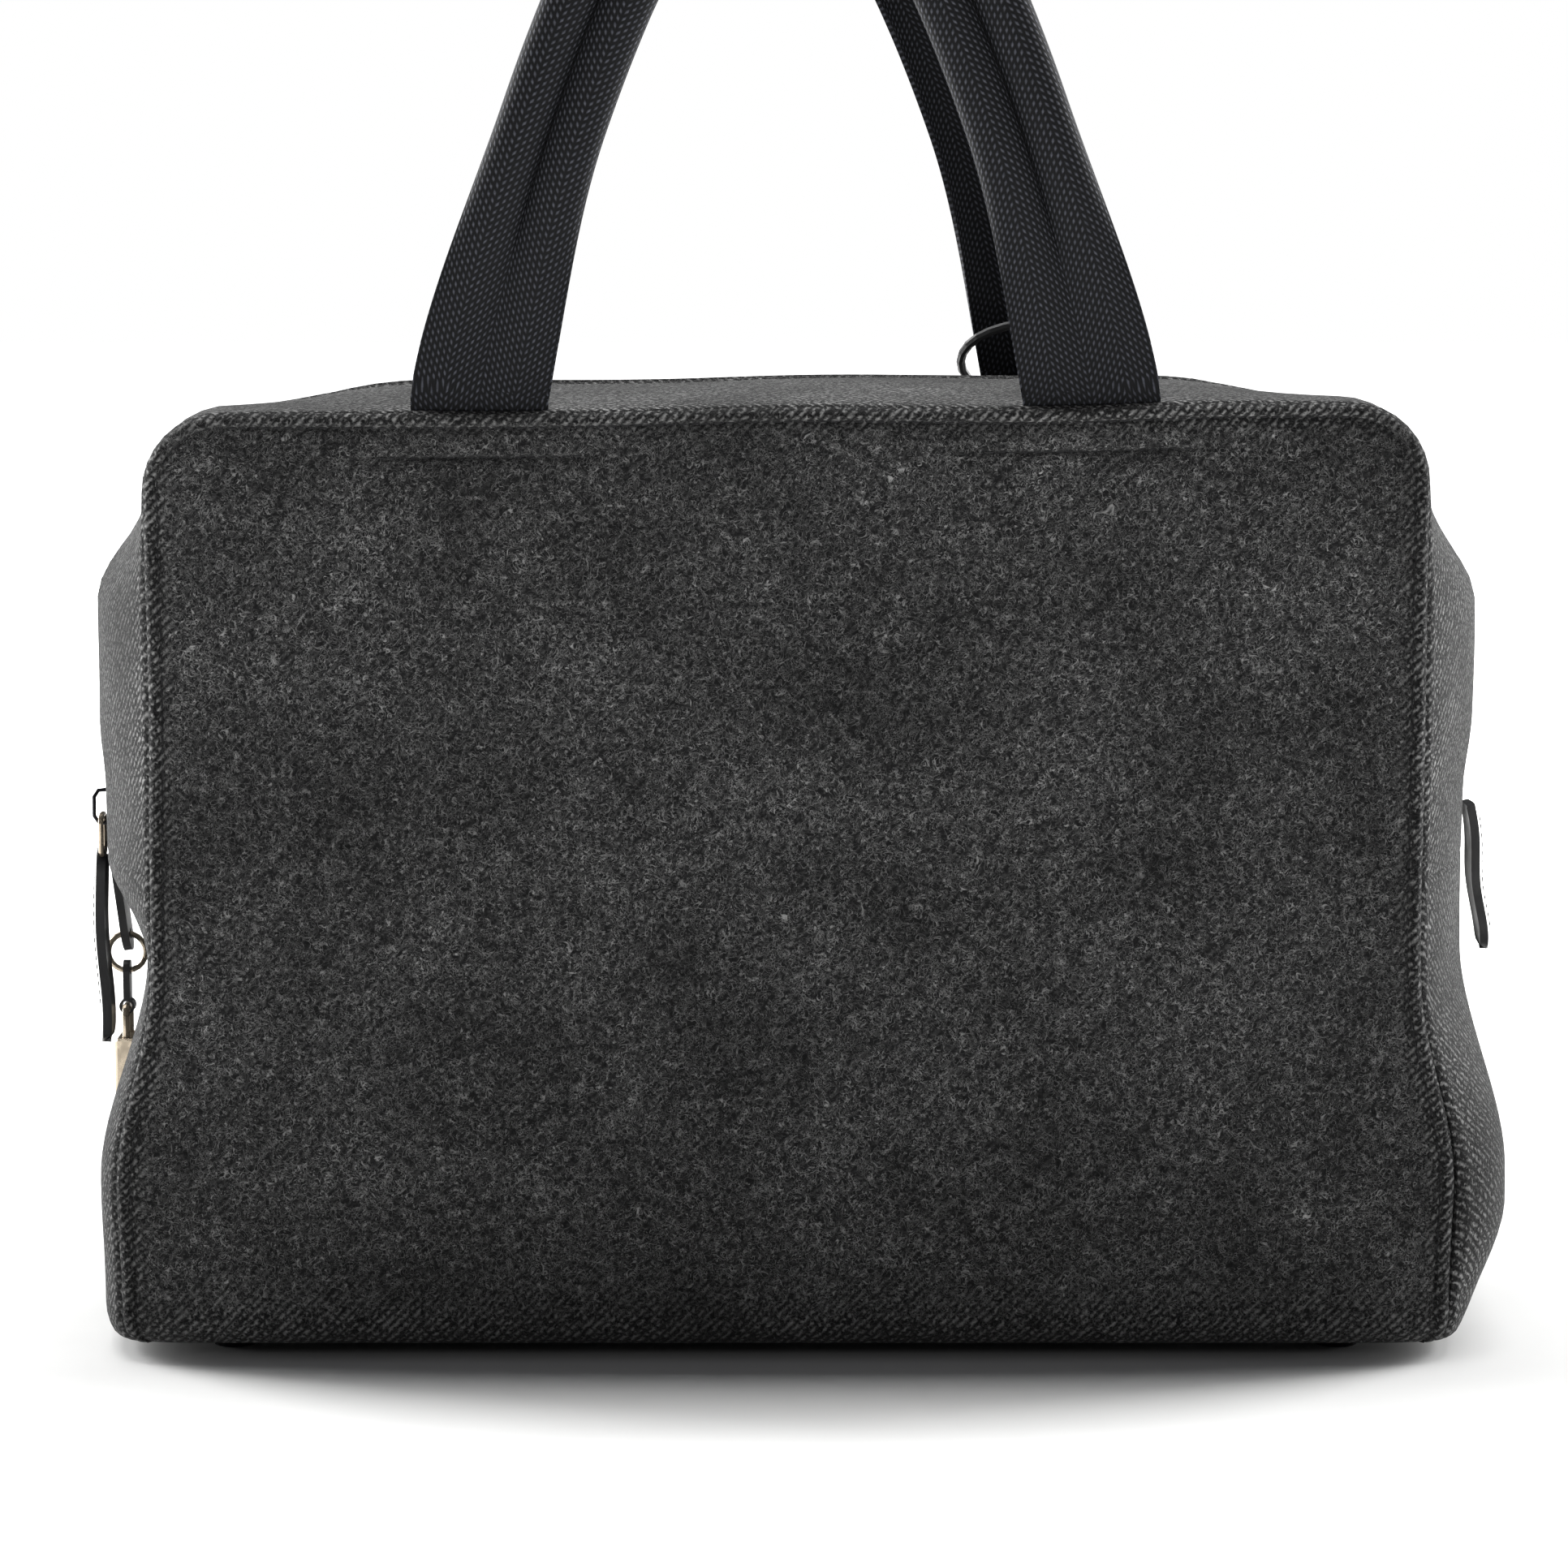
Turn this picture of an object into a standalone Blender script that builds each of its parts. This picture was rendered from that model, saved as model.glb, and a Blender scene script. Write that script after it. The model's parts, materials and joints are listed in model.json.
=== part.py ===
"""A zip-around wool weekender bag, built as its separate cut and sewn pieces.

Frame: origin on the floor under the middle foot, +X to the right, +Z up, front panel towards -Y.
The two padded halves of the mouth hinge outwards on the panels, a little above the ends of the zip.
"""

import math

import bmesh
import bpy
from mathutils import Matrix, Vector

# Driving dimensions, in metres.
DEPTH = 0.170
PANEL_TOP = 0.2675
WIDTH_TOP = 0.355
WIDTH_BASE = 0.378
FLARE_HEIGHT = 0.160
CORNER_RADIUS = 0.016
BASE_RADIUS = 0.008
FOOT_HEIGHT = 0.004
FOOT_X = 0.157
FOOT_Y = 0.060
GAP = 0.0003

# Layers of the wall, measured inwards from the outside of the wool.
WOOL = 0.003
TAPE_DEPTH = 0.0033
TAPE = 0.0006
TEETH_DEPTH = 0.0016
TEETH = 0.0028
LINING_DEPTH = 0.0048
LINING = 0.0008

# Crown of the gusset at the middle of the bag's depth.
TOP_CROWN = 0.004
SIDE_CROWN = 0.020
BASE_CROWN = 0.007
CROWN_STARTS = 0.254
CROWN_FULL = 0.209
PRESSED_FROM = 0.110
PRESSED_OVER = 0.025
FULL_OVER = 0.040
TOP_CROWN_END = 0.150
TOP_CROWN_FADE = 0.050

# Zip.
MOUTH_HEIGHT = 0.138
ZIP_CHANNEL = 0.013
ZIP_STOP = 0.128
TAPE_WIDTH = 0.020
TAPE_END = 0.122
CHAIN_WIDTH = 0.0056
LINING_EDGE = 0.009
SLIDER_HEIGHT = 0.147
SLIDER_LENGTH = 0.012
SLIDER_WIDTH = 0.0096

# Handles of folded webbing.
HANDLE_SPACING = 0.0845
HANDLE_RISE = 0.172
HANDLE_ARCH = 1.8
HANDLE_SHOULDER = 0.885
UPRIGHT_STRETCH = 0.050
FOLD_STRETCH = 0.075
WEBBING_WIDTH = 0.038
FOLDED_WIDTH = 0.030
WEBBING_BASE = 0.0024
FOLDED_THICKNESS = 0.0090
REAR_HANDLE_SHIFT = -0.0057
TAIL_LENGTH = 0.030
TAIL_THICKNESS = 0.0012
SEAM_SLOT = 0.0033
HANDLE_LIFT = 0.0026
PIVOT_RISE = 0.003
PIVOT_INSET = 0.001

# Base.
BOARD_THICKNESS = 0.002
BOARD_X = 0.168
BOARD_Y = 0.076
FOOT_SOLE = 0.0060
FOOT_RIM = 0.0080
LINING_TUCK = 0.006

HALF_DEPTH = DEPTH / 2
LOWER_HEIGHTS = [MOUTH_HEIGHT - GAP / 2, 0.131, 0.124, 0.117, 0.110, 0.080, 0.060, 0.040, 0.025]
FRONT, REAR = -1, 1
LEFT, RIGHT = -1, 1

MATERIALS = {}


def linear(hex_colour):
    """The linear colour of an sRGB hex value."""
    values = [int(hex_colour[i:i + 2], 16) / 255 for i in (0, 2, 4)]
    return [v / 12.92 if v <= 0.04045 else ((v + 0.055) / 1.055) ** 2.4 for v in values] + [1.0]


def material(name, hex_colour, roughness, metallic=0.0):
    """A Principled material, one for each finish and part."""
    made = bpy.data.materials.new(name)
    made.use_nodes = True
    shader = made.node_tree.nodes["Principled BSDF"]
    shader.inputs["Base Color"].default_value = linear(hex_colour)
    shader.inputs["Roughness"].default_value = roughness
    shader.inputs["Metallic"].default_value = metallic
    return made


FINISHES = {
    "wool": ("454547", 0.95, 0.0),
    "webbing": ("15171f", 0.75, 0.0),
    "leather": ("1a1a1c", 0.45, 0.0),
    "lining": ("23242a", 0.70, 0.0),
    "tape": ("18191d", 0.85, 0.0),
    "nickel": ("b3aa9c", 0.28, 1.0),
    "black_metal": ("202022", 0.35, 1.0),
    "board": ("5b5348", 0.90, 0.0),
    "rubber": ("161616", 0.60, 0.0),
}


def finish(obj, name):
    """Gives an object its own material in one of the bag's finishes."""
    obj.data.materials.append(material(obj.name + "_" + name, *FINISHES[name]))
    return obj


def add_object(name, bm, look, smooth=False, turn_outwards=True):
    """Turns a bmesh into a named object with outward normals."""
    if turn_outwards:
        bmesh.ops.recalc_face_normals(bm, faces=bm.faces[:])
    mesh = bpy.data.meshes.new(name)
    bm.to_mesh(mesh)
    bm.free()
    if smooth:
        mesh.shade_smooth()
        mesh.set_sharp_from_angle(angle=math.radians(40))
    obj = bpy.data.objects.new(name, mesh)
    bpy.context.scene.collection.objects.link(obj)
    return finish(obj, look)


def put_origin(obj, point):
    """Moves an object's origin onto its joint, leaving its shape in place."""
    obj.data.transform(Matrix.Translation(-Vector(point)))
    obj.location = point
    return obj


# The outline of the panels, and the skin that runs round it.

def smoothstep(value):
    value = min(1.0, max(0.0, value))
    return value * value * (3 - 2 * value)


def half_width(z):
    """Half the width of the front and rear panels at a height."""
    flare = max(0.0, 1 - z / FLARE_HEIGHT)
    return WIDTH_TOP / 2 + (WIDTH_BASE - WIDTH_TOP) / 2 * flare ** 2


def side_crown(z, side):
    """How far the side stands proud at mid depth. The left side is pressed in below the zip by its lock."""
    crown = SIDE_CROWN * smoothstep((CROWN_STARTS - z) / (CROWN_STARTS - CROWN_FULL))
    start, stretch = (PRESSED_FROM, PRESSED_OVER) if side == LEFT else (0.0, FULL_OVER)
    share = smoothstep((z - start) / stretch)
    return min(crown, BASE_CROWN + (SIDE_CROWN - BASE_CROWN) * share)


def top_crown(x):
    """How far the top stands proud at mid depth, fading out towards the corners."""
    return TOP_CROWN * smoothstep((TOP_CROWN_END - abs(x)) / TOP_CROWN_FADE)


def side_stations(side, heights):
    """Points up one side: place, outward normal and crown."""
    return [(Vector((side * half_width(z), 0, z)), Vector((side, 0, 0)), side_crown(z, side))
            for z in heights]


def corner_stations(side, steps):
    """Points round an upper corner, from the side to the top."""
    centre = Vector((side * (half_width(PANEL_TOP) - CORNER_RADIUS), 0, PANEL_TOP - CORNER_RADIUS))
    found = []
    for i in range(1, steps):
        angle = math.radians(90) * i / steps
        normal = Vector((side * math.cos(angle), 0, math.sin(angle)))
        crown = side_crown(centre.z, side) * (1 - i / steps)
        found.append((centre + normal * CORNER_RADIUS, normal, crown))
    return found


def slot_edges(shift):
    """Where the handle's webbing enters the top seam: the x of each slot's two ends."""
    half = WEBBING_WIDTH / 2 + 2 * GAP
    return [(shift + s * HANDLE_SPACING - half, shift + s * HANDLE_SPACING + half) for s in (LEFT, RIGHT)]


def arch_path(shift):
    """Stations from the left end of the mouth, over the top, to the right end."""
    steps = 8
    low, high = MOUTH_HEIGHT + GAP / 2, PANEL_TOP - CORNER_RADIUS
    heights = [low + (high - low) * i / steps for i in range(steps + 1)]
    rise = side_stations(LEFT, heights) + corner_stations(LEFT, 5)
    fall = (side_stations(RIGHT, heights) + corner_stations(RIGHT, 5))[::-1]
    reach = half_width(PANEL_TOP) - CORNER_RADIUS
    flats = [-reach, -0.145, -0.125, -0.040, 0.0, 0.040, 0.125, 0.145, reach]
    for start, end in slot_edges(shift):
        flats += [start - GAP, start, end, end + GAP]
    top = [(Vector((x, 0, PANEL_TOP)), Vector((0, 0, 1)), top_crown(x)) for x in sorted(flats)]
    return rise + top + fall


def skin_point(station, y, depth):
    """A point of the gusset at a distance across the bag and a depth below the wool's outside."""
    place, normal, crown = station
    lift = crown * (1 - (y / HALF_DEPTH) ** 2) - depth
    return place + normal * lift + Vector((0, y, 0))


def strip(name, path, rows, outer, inner, look):
    """A closed strip of the gusset. rows gives, for a station, its distances across the bag."""
    bm = bmesh.new()
    sheets = [[[bm.verts.new(skin_point(s, y, depth)) for y in rows(s)] for s in path]
              for depth in (outer, inner)]
    across = len(sheets[0][0])
    for sheet in sheets:
        for a, b in zip(sheet, sheet[1:]):
            for j in range(across - 1):
                bm.faces.new((a[j], a[j + 1], b[j + 1], b[j]))
    upper, lower = sheets
    for j in range(across - 1):
        for end in (0, -1):
            bm.faces.new((upper[end][j], upper[end][j + 1], lower[end][j + 1], lower[end][j]))
    for i in range(len(path) - 1):
        for edge in (0, -1):
            bm.faces.new((upper[i][edge], upper[i + 1][edge], lower[i + 1][edge], lower[i][edge]))
    return add_object(name, bm, look, smooth=True)


def even_rows(start, end, steps):
    """The same distances across the bag at every station."""
    return lambda station: [start + (end - start) * j / steps for j in range(steps + 1)]


def slotted_rows(side, inner, outer, shift, steps):
    """Rows whose outer edge steps back where the webbing comes through the seam."""
    def rows(station):
        x, on_top = station[0].x, station[1].z > 0.99
        in_slot = on_top and any(low - GAP / 2 < x < high + GAP / 2 for low, high in slot_edges(shift))
        edge = outer - (SEAM_SLOT if in_slot else 0.0)
        return [side * (inner + (edge - inner) * j / steps) for j in range(steps + 1)]
    return rows


def plate(name, outline, front_y, thickness, look):
    """A flat piece in the plane of a panel: its outline is swept back from front_y."""
    bm = bmesh.new()
    face = bm.faces.new([bm.verts.new((x, front_y, z)) for x, z in outline])
    swept = bmesh.ops.extrude_face_region(bm, geom=[face])["geom"]
    moved = [v for v in swept if isinstance(v, bmesh.types.BMVert)]
    bmesh.ops.translate(bm, verts=moved, vec=(0, thickness, 0))
    return add_object(name, bm, look)


def upper_outline(inset):
    """The outline of a panel above the ends of the mouth, set in from the edge by inset."""
    path = [s for s in arch_path(0) if s[1].z < 0.99 or s[0].x == 0.0]
    return [((p - n * inset).x, (p - n * inset).z) for p, n, crown in path]


def lower_outline(inset):
    """The outline of a panel below the ends of the mouth."""
    heights = [MOUTH_HEIGHT - GAP / 2, 0.110, 0.080, 0.050, 0.030, FOOT_HEIGHT + BASE_RADIUS]
    right = [(half_width(z) - inset, z) for z in heights]
    reach = half_width(FOOT_HEIGHT + BASE_RADIUS) - BASE_RADIUS
    for i in range(1, 4):
        angle = math.radians(30) * i
        drop = BASE_RADIUS * (1 - math.sin(angle))
        right.append((reach + BASE_RADIUS * math.cos(angle) - inset, FOOT_HEIGHT + drop))
    return right + [(-x, z) for x, z in reversed(right)]


# Wool, lining and zip of one half of the mouth.

def make_half(word, side, shift):
    """The half of the mouth on one side of the zip: panel, gusset, zip stringer and lining."""
    face = side * HALF_DEPTH
    pivot = (0, face, MOUTH_HEIGHT)
    seam = HALF_DEPTH - WOOL - GAP
    path = arch_path(shift)
    inner_face = side * (HALF_DEPTH - LINING_DEPTH)
    panel = plate(word + "_panel_upper", upper_outline(0), face, -side * WOOL, "wool")
    gusset_rows = slotted_rows(side, ZIP_CHANNEL / 2, seam, shift, 5)
    gusset = strip(word + "_gusset", path, gusset_rows, 0, WOOL, "wool")
    plain = [s for s in path if s in arch_path(0) or s[1].z < 0.99]
    chain = CHAIN_WIDTH / 2
    tape_rows = even_rows(side * TAPE_WIDTH, side * (chain + GAP), 2)
    tape = strip(word + "_zip_tape", plain, tape_rows, TAPE_DEPTH, TAPE_DEPTH + TAPE, "tape")
    teeth_rows = even_rows(side * chain, side * GAP, 1)
    teeth = strip(word + "_zip_teeth", plain, teeth_rows, TEETH_DEPTH, TEETH_DEPTH + TEETH,
                  "black_metal")
    lining_panel = plate(word + "_lining_panel", upper_outline(LINING_DEPTH), inner_face,
                         -side * LINING, "lining")
    edge = HALF_DEPTH - LINING_DEPTH - LINING - GAP
    lining_rows = even_rows(side * edge, side * LINING_EDGE, 4)
    lining_gusset = strip(word + "_lining_gusset", plain, lining_rows, LINING_DEPTH,
                          LINING_DEPTH + LINING, "lining")
    anchors = make_anchors(word, side, shift)
    for obj in [panel, gusset, tape, teeth, lining_panel, lining_gusset] + anchors:
        put_origin(obj, pivot)


def box(bm, low, high):
    """A box between two corners."""
    low, high = Vector(low), Vector(high)
    made = bmesh.ops.create_cube(bm, size=1.0)["verts"]
    bmesh.ops.scale(bm, verts=made, vec=high - low)
    bmesh.ops.translate(bm, verts=made, vec=(low + high) / 2)
    return made


def make_anchors(word, side, shift):
    """The two ends of the webbing that are sewn down behind the panel's top seam."""
    half = WEBBING_WIDTH / 2
    near, far = sorted(side * (HALF_DEPTH - WOOL - GAP - thick) for thick in (0, TAIL_THICKNESS))
    made = []
    for leg_word, leg in (("left", LEFT), ("right", RIGHT)):
        x = shift + leg * HANDLE_SPACING
        bm = bmesh.new()
        box(bm, (x - half, near, PANEL_TOP - TAIL_LENGTH), (x + half, far, PANEL_TOP))
        made.append(add_object(word + "_handle_anchor_" + leg_word, bm, "webbing"))
    return made


# Handles.

def handle_point(u):
    """The middle of a handle's webbing: x and height, with u from -1 at its left end to 1 at its right."""
    return HANDLE_SPACING * u, HANDLE_RISE * (1 - abs(u) ** HANDLE_ARCH) ** HANDLE_SHOULDER


def make_handle(word, side, shift):
    """An arch of webbing: flat where it is sewn in, folded into a thick double roll where it is held."""
    bm = bmesh.new()
    base_y = side * (HALF_DEPTH - WOOL - 2 * GAP - WEBBING_BASE / 2)
    base_z = PANEL_TOP + HANDLE_LIFT
    steps, sides, squareness, reach = 40, 8, 1.08, 0.002
    rings = []
    for i in range(steps + 1):
        angle = math.pi * i / steps
        u = -math.cos(angle)
        x, z = handle_point(u)
        x2, z2 = handle_point(min(1.0, u + reach))
        x1, z1 = handle_point(max(-1.0, u - reach))
        along = Vector((x2 - x1, 0, z2 - z1)).normalized()
        upright = Vector((0, 0, -1.0 if u > 0 else 1.0))
        along = upright.lerp(along, smoothstep(z / UPRIGHT_STRETCH)).normalized()
        across = Vector((along.z, 0, -along.x))
        fold = smoothstep(z / FOLD_STRETCH)
        wide = WEBBING_WIDTH / 2 + (FOLDED_WIDTH - WEBBING_WIDTH) / 2 * fold
        thick = WEBBING_BASE / 2 + (FOLDED_THICKNESS - WEBBING_BASE) / 2 * fold
        middle = Vector((shift + x, base_y, base_z + z))
        ring = []
        for j in range(sides):
            turn = 2 * math.pi * (j + 0.5) / sides
            a = math.copysign(min(1.0, abs(math.cos(turn)) * squareness), math.cos(turn))
            b = math.copysign(min(1.0, abs(math.sin(turn)) * squareness), math.sin(turn))
            ring.append(bm.verts.new(middle + across * wide * a + Vector((0, thick * b, 0))))
        rings.append(ring)
    for a, b in zip(rings, rings[1:]):
        for j in range(sides):
            k = (j + 1) % sides
            bm.faces.new((a[j], a[k], b[k], b[j]))
    bm.faces.new(rings[0])
    bm.faces.new(rings[-1])
    obj = add_object(word + "_handle", bm, "webbing", smooth=True)
    return put_origin(obj, (0, side * (HALF_DEPTH - PIVOT_INSET), PANEL_TOP + PIVOT_RISE))


# The fixed lower part of the bag.

def lower_side_path(side):
    """Stations from the mouth's end down the side and round under the base."""
    low = FOOT_HEIGHT + BASE_RADIUS
    heights = LOWER_HEIGHTS[:5] + [0.095] + LOWER_HEIGHTS[5:] + [low]
    path = side_stations(side, heights)
    centre = Vector((side * (half_width(low) - BASE_RADIUS), 0, low))
    for i in range(1, 5):
        angle = math.radians(90) * i / 4
        normal = Vector((side * math.cos(angle), 0, -math.sin(angle)))
        path.append((centre + normal * BASE_RADIUS, normal, BASE_CROWN * math.cos(angle) ** 2))
    return path


def cutter(name, low, high):
    """A box that cuts another piece and isn't part of the bag."""
    bm = bmesh.new()
    box(bm, low, high)
    obj = add_object(name, bm, "wool")
    obj.hide_render = True
    obj.display_type = "WIRE"
    return obj


def cut(obj, tool, operation="DIFFERENCE"):
    """Cuts, or joins, one object with another by an exact Boolean."""
    tool.hide_render = True
    tool.display_type = "WIRE"
    modifier = obj.modifiers.new(tool.name, "BOOLEAN")
    modifier.operation = operation
    modifier.solver = "EXACT"
    modifier.object = tool
    return obj


def make_lower_side(word, side):
    """The side below the mouth, with the end of the zip let into its top edge."""
    seam = HALF_DEPTH - WOOL - GAP
    path = lower_side_path(side)
    gusset = strip("side_gusset_" + word, path, even_rows(-seam, seam, 10), 0, WOOL, "wool")
    reach = half_width(MOUTH_HEIGHT) + SIDE_CROWN
    near, far = sorted((side * (reach - SIDE_CROWN), side * (reach + WOOL)))
    slot = cutter("zip_slot_" + word, (near, -ZIP_CHANNEL / 2, ZIP_STOP),
                  (far, ZIP_CHANNEL / 2, MOUTH_HEIGHT + WOOL))
    cut(gusset, slot)
    heights = [MOUTH_HEIGHT - GAP / 2, 0.133, ZIP_STOP + 0.001]
    chain = CHAIN_WIDTH / 2
    stop_path = side_stations(side, heights)
    strip("zip_end_chain_" + word, stop_path, even_rows(-chain, chain, 1), TEETH_DEPTH,
          TEETH_DEPTH + TEETH, "black_metal")
    tape_path = side_stations(side, [MOUTH_HEIGHT - GAP / 2, 0.131, TAPE_END])
    for half_word, half in (("front", FRONT), ("rear", REAR)):
        rows = even_rows(half * TAPE_WIDTH, half * (chain + GAP), 1)
        strip("zip_end_tape_" + word + "_" + half_word, tape_path, rows, TAPE_DEPTH,
              TAPE_DEPTH + TAPE, "tape")


def lining_ring(bm, z, depth):
    """One level of the lining tub: a loop of vertices, crowned at both sides."""
    edge = HALF_DEPTH - depth
    steps = 6
    loop = []
    for side in (LEFT, RIGHT):
        station = side_stations(side, [z])[0]
        for j in range(steps + 1):
            y = edge * (2 * j / steps - 1) * -side
            loop.append(bm.verts.new(skin_point(station, y, depth)))
    return loop


def make_lower_lining():
    """The lining of the lower bag: one open tub."""
    bm = bmesh.new()
    floor = FOOT_HEIGHT + WOOL + GAP + BOARD_THICKNESS + GAP
    heights = [MOUTH_HEIGHT - GAP / 2, 0.128, 0.116, 0.104, 0.070, 0.040, 0.022]
    outer = [lining_ring(bm, z, LINING_DEPTH) for z in heights]
    outer.append(lining_ring(bm, floor, LINING_DEPTH + LINING_TUCK))
    inner = [lining_ring(bm, z, LINING_DEPTH + LINING) for z in heights]
    inner.append(lining_ring(bm, floor + LINING, LINING_DEPTH + LINING + LINING_TUCK))
    for rings in (outer, inner):
        for a, b in zip(rings, rings[1:]):
            for j in range(len(a)):
                k = (j + 1) % len(a)
                bm.faces.new((a[j], a[k], b[k], b[j]))
        bm.faces.new(rings[-1])
    for j in range(len(outer[0])):
        k = (j + 1) % len(outer[0])
        bm.faces.new((outer[0][j], outer[0][k], inner[0][k], inner[0][j]))
    add_object("lower_lining", bm, "lining", smooth=True)


def make_base():
    """Base panel, its stiffening board and five feet."""
    bm = bmesh.new()
    reach = half_width(FOOT_HEIGHT + BASE_RADIUS) - BASE_RADIUS - GAP
    seam = HALF_DEPTH - WOOL - GAP
    box(bm, (-reach, -seam, FOOT_HEIGHT), (reach, seam, FOOT_HEIGHT + WOOL))
    add_object("base_panel", bm, "wool")
    bm = bmesh.new()
    low = FOOT_HEIGHT + WOOL + GAP
    box(bm, (-BOARD_X, -BOARD_Y, low), (BOARD_X, BOARD_Y, low + BOARD_THICKNESS))
    add_object("base_board", bm, "board")
    make_foot("foot_middle", 0.0, 0.0)
    for depth_word, side_y in (("front", FRONT), ("rear", REAR)):
        for word, side_x in (("left", LEFT), ("right", RIGHT)):
            make_foot("foot_" + depth_word + "_" + word, side_x * FOOT_X, side_y * FOOT_Y)


def make_foot(name, x, y):
    """A low stud under the base, narrower where it meets the floor."""
    height = FOOT_HEIGHT - GAP
    bm = bmesh.new()
    made = bmesh.ops.create_cone(bm, cap_ends=True, segments=16, radius1=FOOT_SOLE,
                                 radius2=FOOT_RIM, depth=height)["verts"]
    bmesh.ops.translate(bm, verts=made, vec=(x, y, height / 2))
    add_object(name, bm, "rubber", turn_outwards=False)


# Hardware.

def tube(name, points, radius, look, closed=False, resolution=2):
    """Round wire bent along a path."""
    curve = bpy.data.curves.new(name, "CURVE")
    curve.dimensions = "3D"
    curve.bevel_depth = radius
    curve.bevel_resolution = resolution
    curve.use_fill_caps = not closed
    spline = curve.splines.new("POLY")
    spline.points.add(len(points) - 1)
    for item, point in zip(spline.points, points):
        item.co = (*point, 1.0)
    spline.use_cyclic_u = closed
    obj = bpy.data.objects.new(name, curve)
    bpy.context.scene.collection.objects.link(obj)
    return finish(obj, look)


def put_curve_origin(obj, point):
    """Moves a wire's origin onto its joint, leaving its shape in place."""
    obj.data.transform(Matrix.Translation(-Vector(point)))
    obj.location = point
    return obj


def rounded_loop(centre, half_a, half_b, radius, axis_a, axis_b, steps=4):
    """Points round a rectangle with round corners, in the plane of two axes."""
    centre, axis_a, axis_b = Vector(centre), Vector(axis_a), Vector(axis_b)
    points = []
    for corner, (sa, sb) in enumerate([(1, 1), (-1, 1), (-1, -1), (1, -1)]):
        for i in range(steps + 1):
            angle = math.radians(90) * (corner + i / steps)
            a = sa * (half_a - radius) + radius * math.cos(angle)
            b = sb * (half_b - radius) + radius * math.sin(angle)
            points.append(centre + axis_a * a + axis_b * b)
    return points


def cylinder(name, start, end, radius, look, segments=16):
    """A round rod between two points."""
    start, end = Vector(start), Vector(end)
    bm = bmesh.new()
    bmesh.ops.create_cone(bm, cap_ends=True, segments=segments, radius1=radius, radius2=radius,
                          depth=(end - start).length)
    turn = (end - start).to_track_quat("Z", "Y").to_matrix().to_4x4()
    bm.transform(Matrix.Translation((start + end) / 2) @ turn)
    return add_object(name, bm, look, smooth=True, turn_outwards=False)


def strap(name, outline, x, thickness, look):
    """A flat leather piece facing sideways: an outline of (y, z) swept in x."""
    bm = bmesh.new()
    face = bm.faces.new([bm.verts.new((x, y, z)) for y, z in outline])
    swept = bmesh.ops.extrude_face_region(bm, geom=[face])["geom"]
    moved = [v for v in swept if isinstance(v, bmesh.types.BMVert)]
    bmesh.ops.translate(bm, verts=moved, vec=(thickness, 0, 0))
    return add_object(name, bm, look)


def round_end(centre, z, half, start, sweep, steps=8):
    """Points of a round end, as (y, z) pairs."""
    return [(centre + half * math.cos(math.radians(start + sweep * i / steps)),
             z + half * math.sin(math.radians(start + sweep * i / steps))) for i in range(steps + 1)]


# The slider stands on the left side's crown, with its link and pull hanging from it.
SIDE_FACE = -(WIDTH_TOP / 2 + SIDE_CROWN)
PLATE_THICKNESS = 0.0015
PLATE_BEVEL = 0.0004
BRIDGE_REACH = 0.0050
BRIDGE_WIRE = 0.0006
BAR_REACH = 0.0026
BAR_RISE = 0.0036
LINK_HALF_HEIGHT = 0.0060
LINK_HALF_WIDTH = 0.0042
LINK_CORNER = 0.0022
LINK_WIRE = 0.0008
PULL_LENGTH = 0.0499
PULL_NECK = 0.0028
PULL_HALF_WIDTH = 0.0055
PULL_THICKNESS = 0.0028
PULL_EYE = 0.0022
PULL_BORE = 0.0012


def make_slider():
    """The zip slider with its bridge, and the nickel link and leather pull that hang from it."""
    top = SIDE_FACE - GAP
    low, high = SLIDER_HEIGHT - SLIDER_LENGTH / 2, SLIDER_HEIGHT + SLIDER_LENGTH / 2
    half = SLIDER_WIDTH / 2
    bm = bmesh.new()
    box(bm, (top, -half, low), (top + PLATE_THICKNESS, half, high))
    bmesh.ops.bevel(bm, geom=bm.edges[:], offset=PLATE_BEVEL, segments=1, affect="EDGES")
    add_object("zip_slider", bm, "black_metal")
    foot = BRIDGE_WIRE + GAP
    ends = [(0.0, 0.0010), (0.75, 0.0013), (1.0, 0.0032)]
    rise = [(top - max(foot, BRIDGE_REACH * share), 0, high - drop) for share, drop in ends]
    fall = [(x, 0, low + high - z) for x, y, z in reversed(rise)]
    tube("slider_bridge", rise + fall, BRIDGE_WIRE, "black_metal")
    bar = (top - BAR_REACH, 0, low + BAR_RISE)
    centre = (bar[0], 0, bar[2] - LINK_HALF_HEIGHT)
    loop = rounded_loop(centre, LINK_HALF_WIDTH, LINK_HALF_HEIGHT, LINK_CORNER, (0, 1, 0), (0, 0, 1))
    put_curve_origin(tube("pull_link", loop, LINK_WIRE, "nickel", closed=True), bar)
    make_pull((bar[0], 0, bar[2] - 2 * LINK_HALF_HEIGHT))


def make_pull(bar):
    """The leather pull, threaded on the link's lower bar."""
    x, low = bar[0], bar[2]
    neck = [(PULL_NECK, low), (PULL_NECK, low - 0.004), (PULL_HALF_WIDTH, low - 0.010)]
    outline = [(-y, z) for y, z in neck] + round_end(0, low - PULL_LENGTH, PULL_HALF_WIDTH, 180, 180)
    pull = strap("zip_pull", outline + neck[::-1], x - PULL_THICKNESS / 2, PULL_THICKNESS, "leather")
    eye = cylinder("pull_eye", (x, -PULL_NECK, low), (x, PULL_NECK, low), PULL_EYE, "leather")
    bore = cylinder("pull_bore", (x, -2 * PULL_NECK, low), (x, 2 * PULL_NECK, low), PULL_BORE, "leather")
    cut(pull, eye, "UNION")
    cut(pull, bore)
    put_origin(pull, bar)


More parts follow.
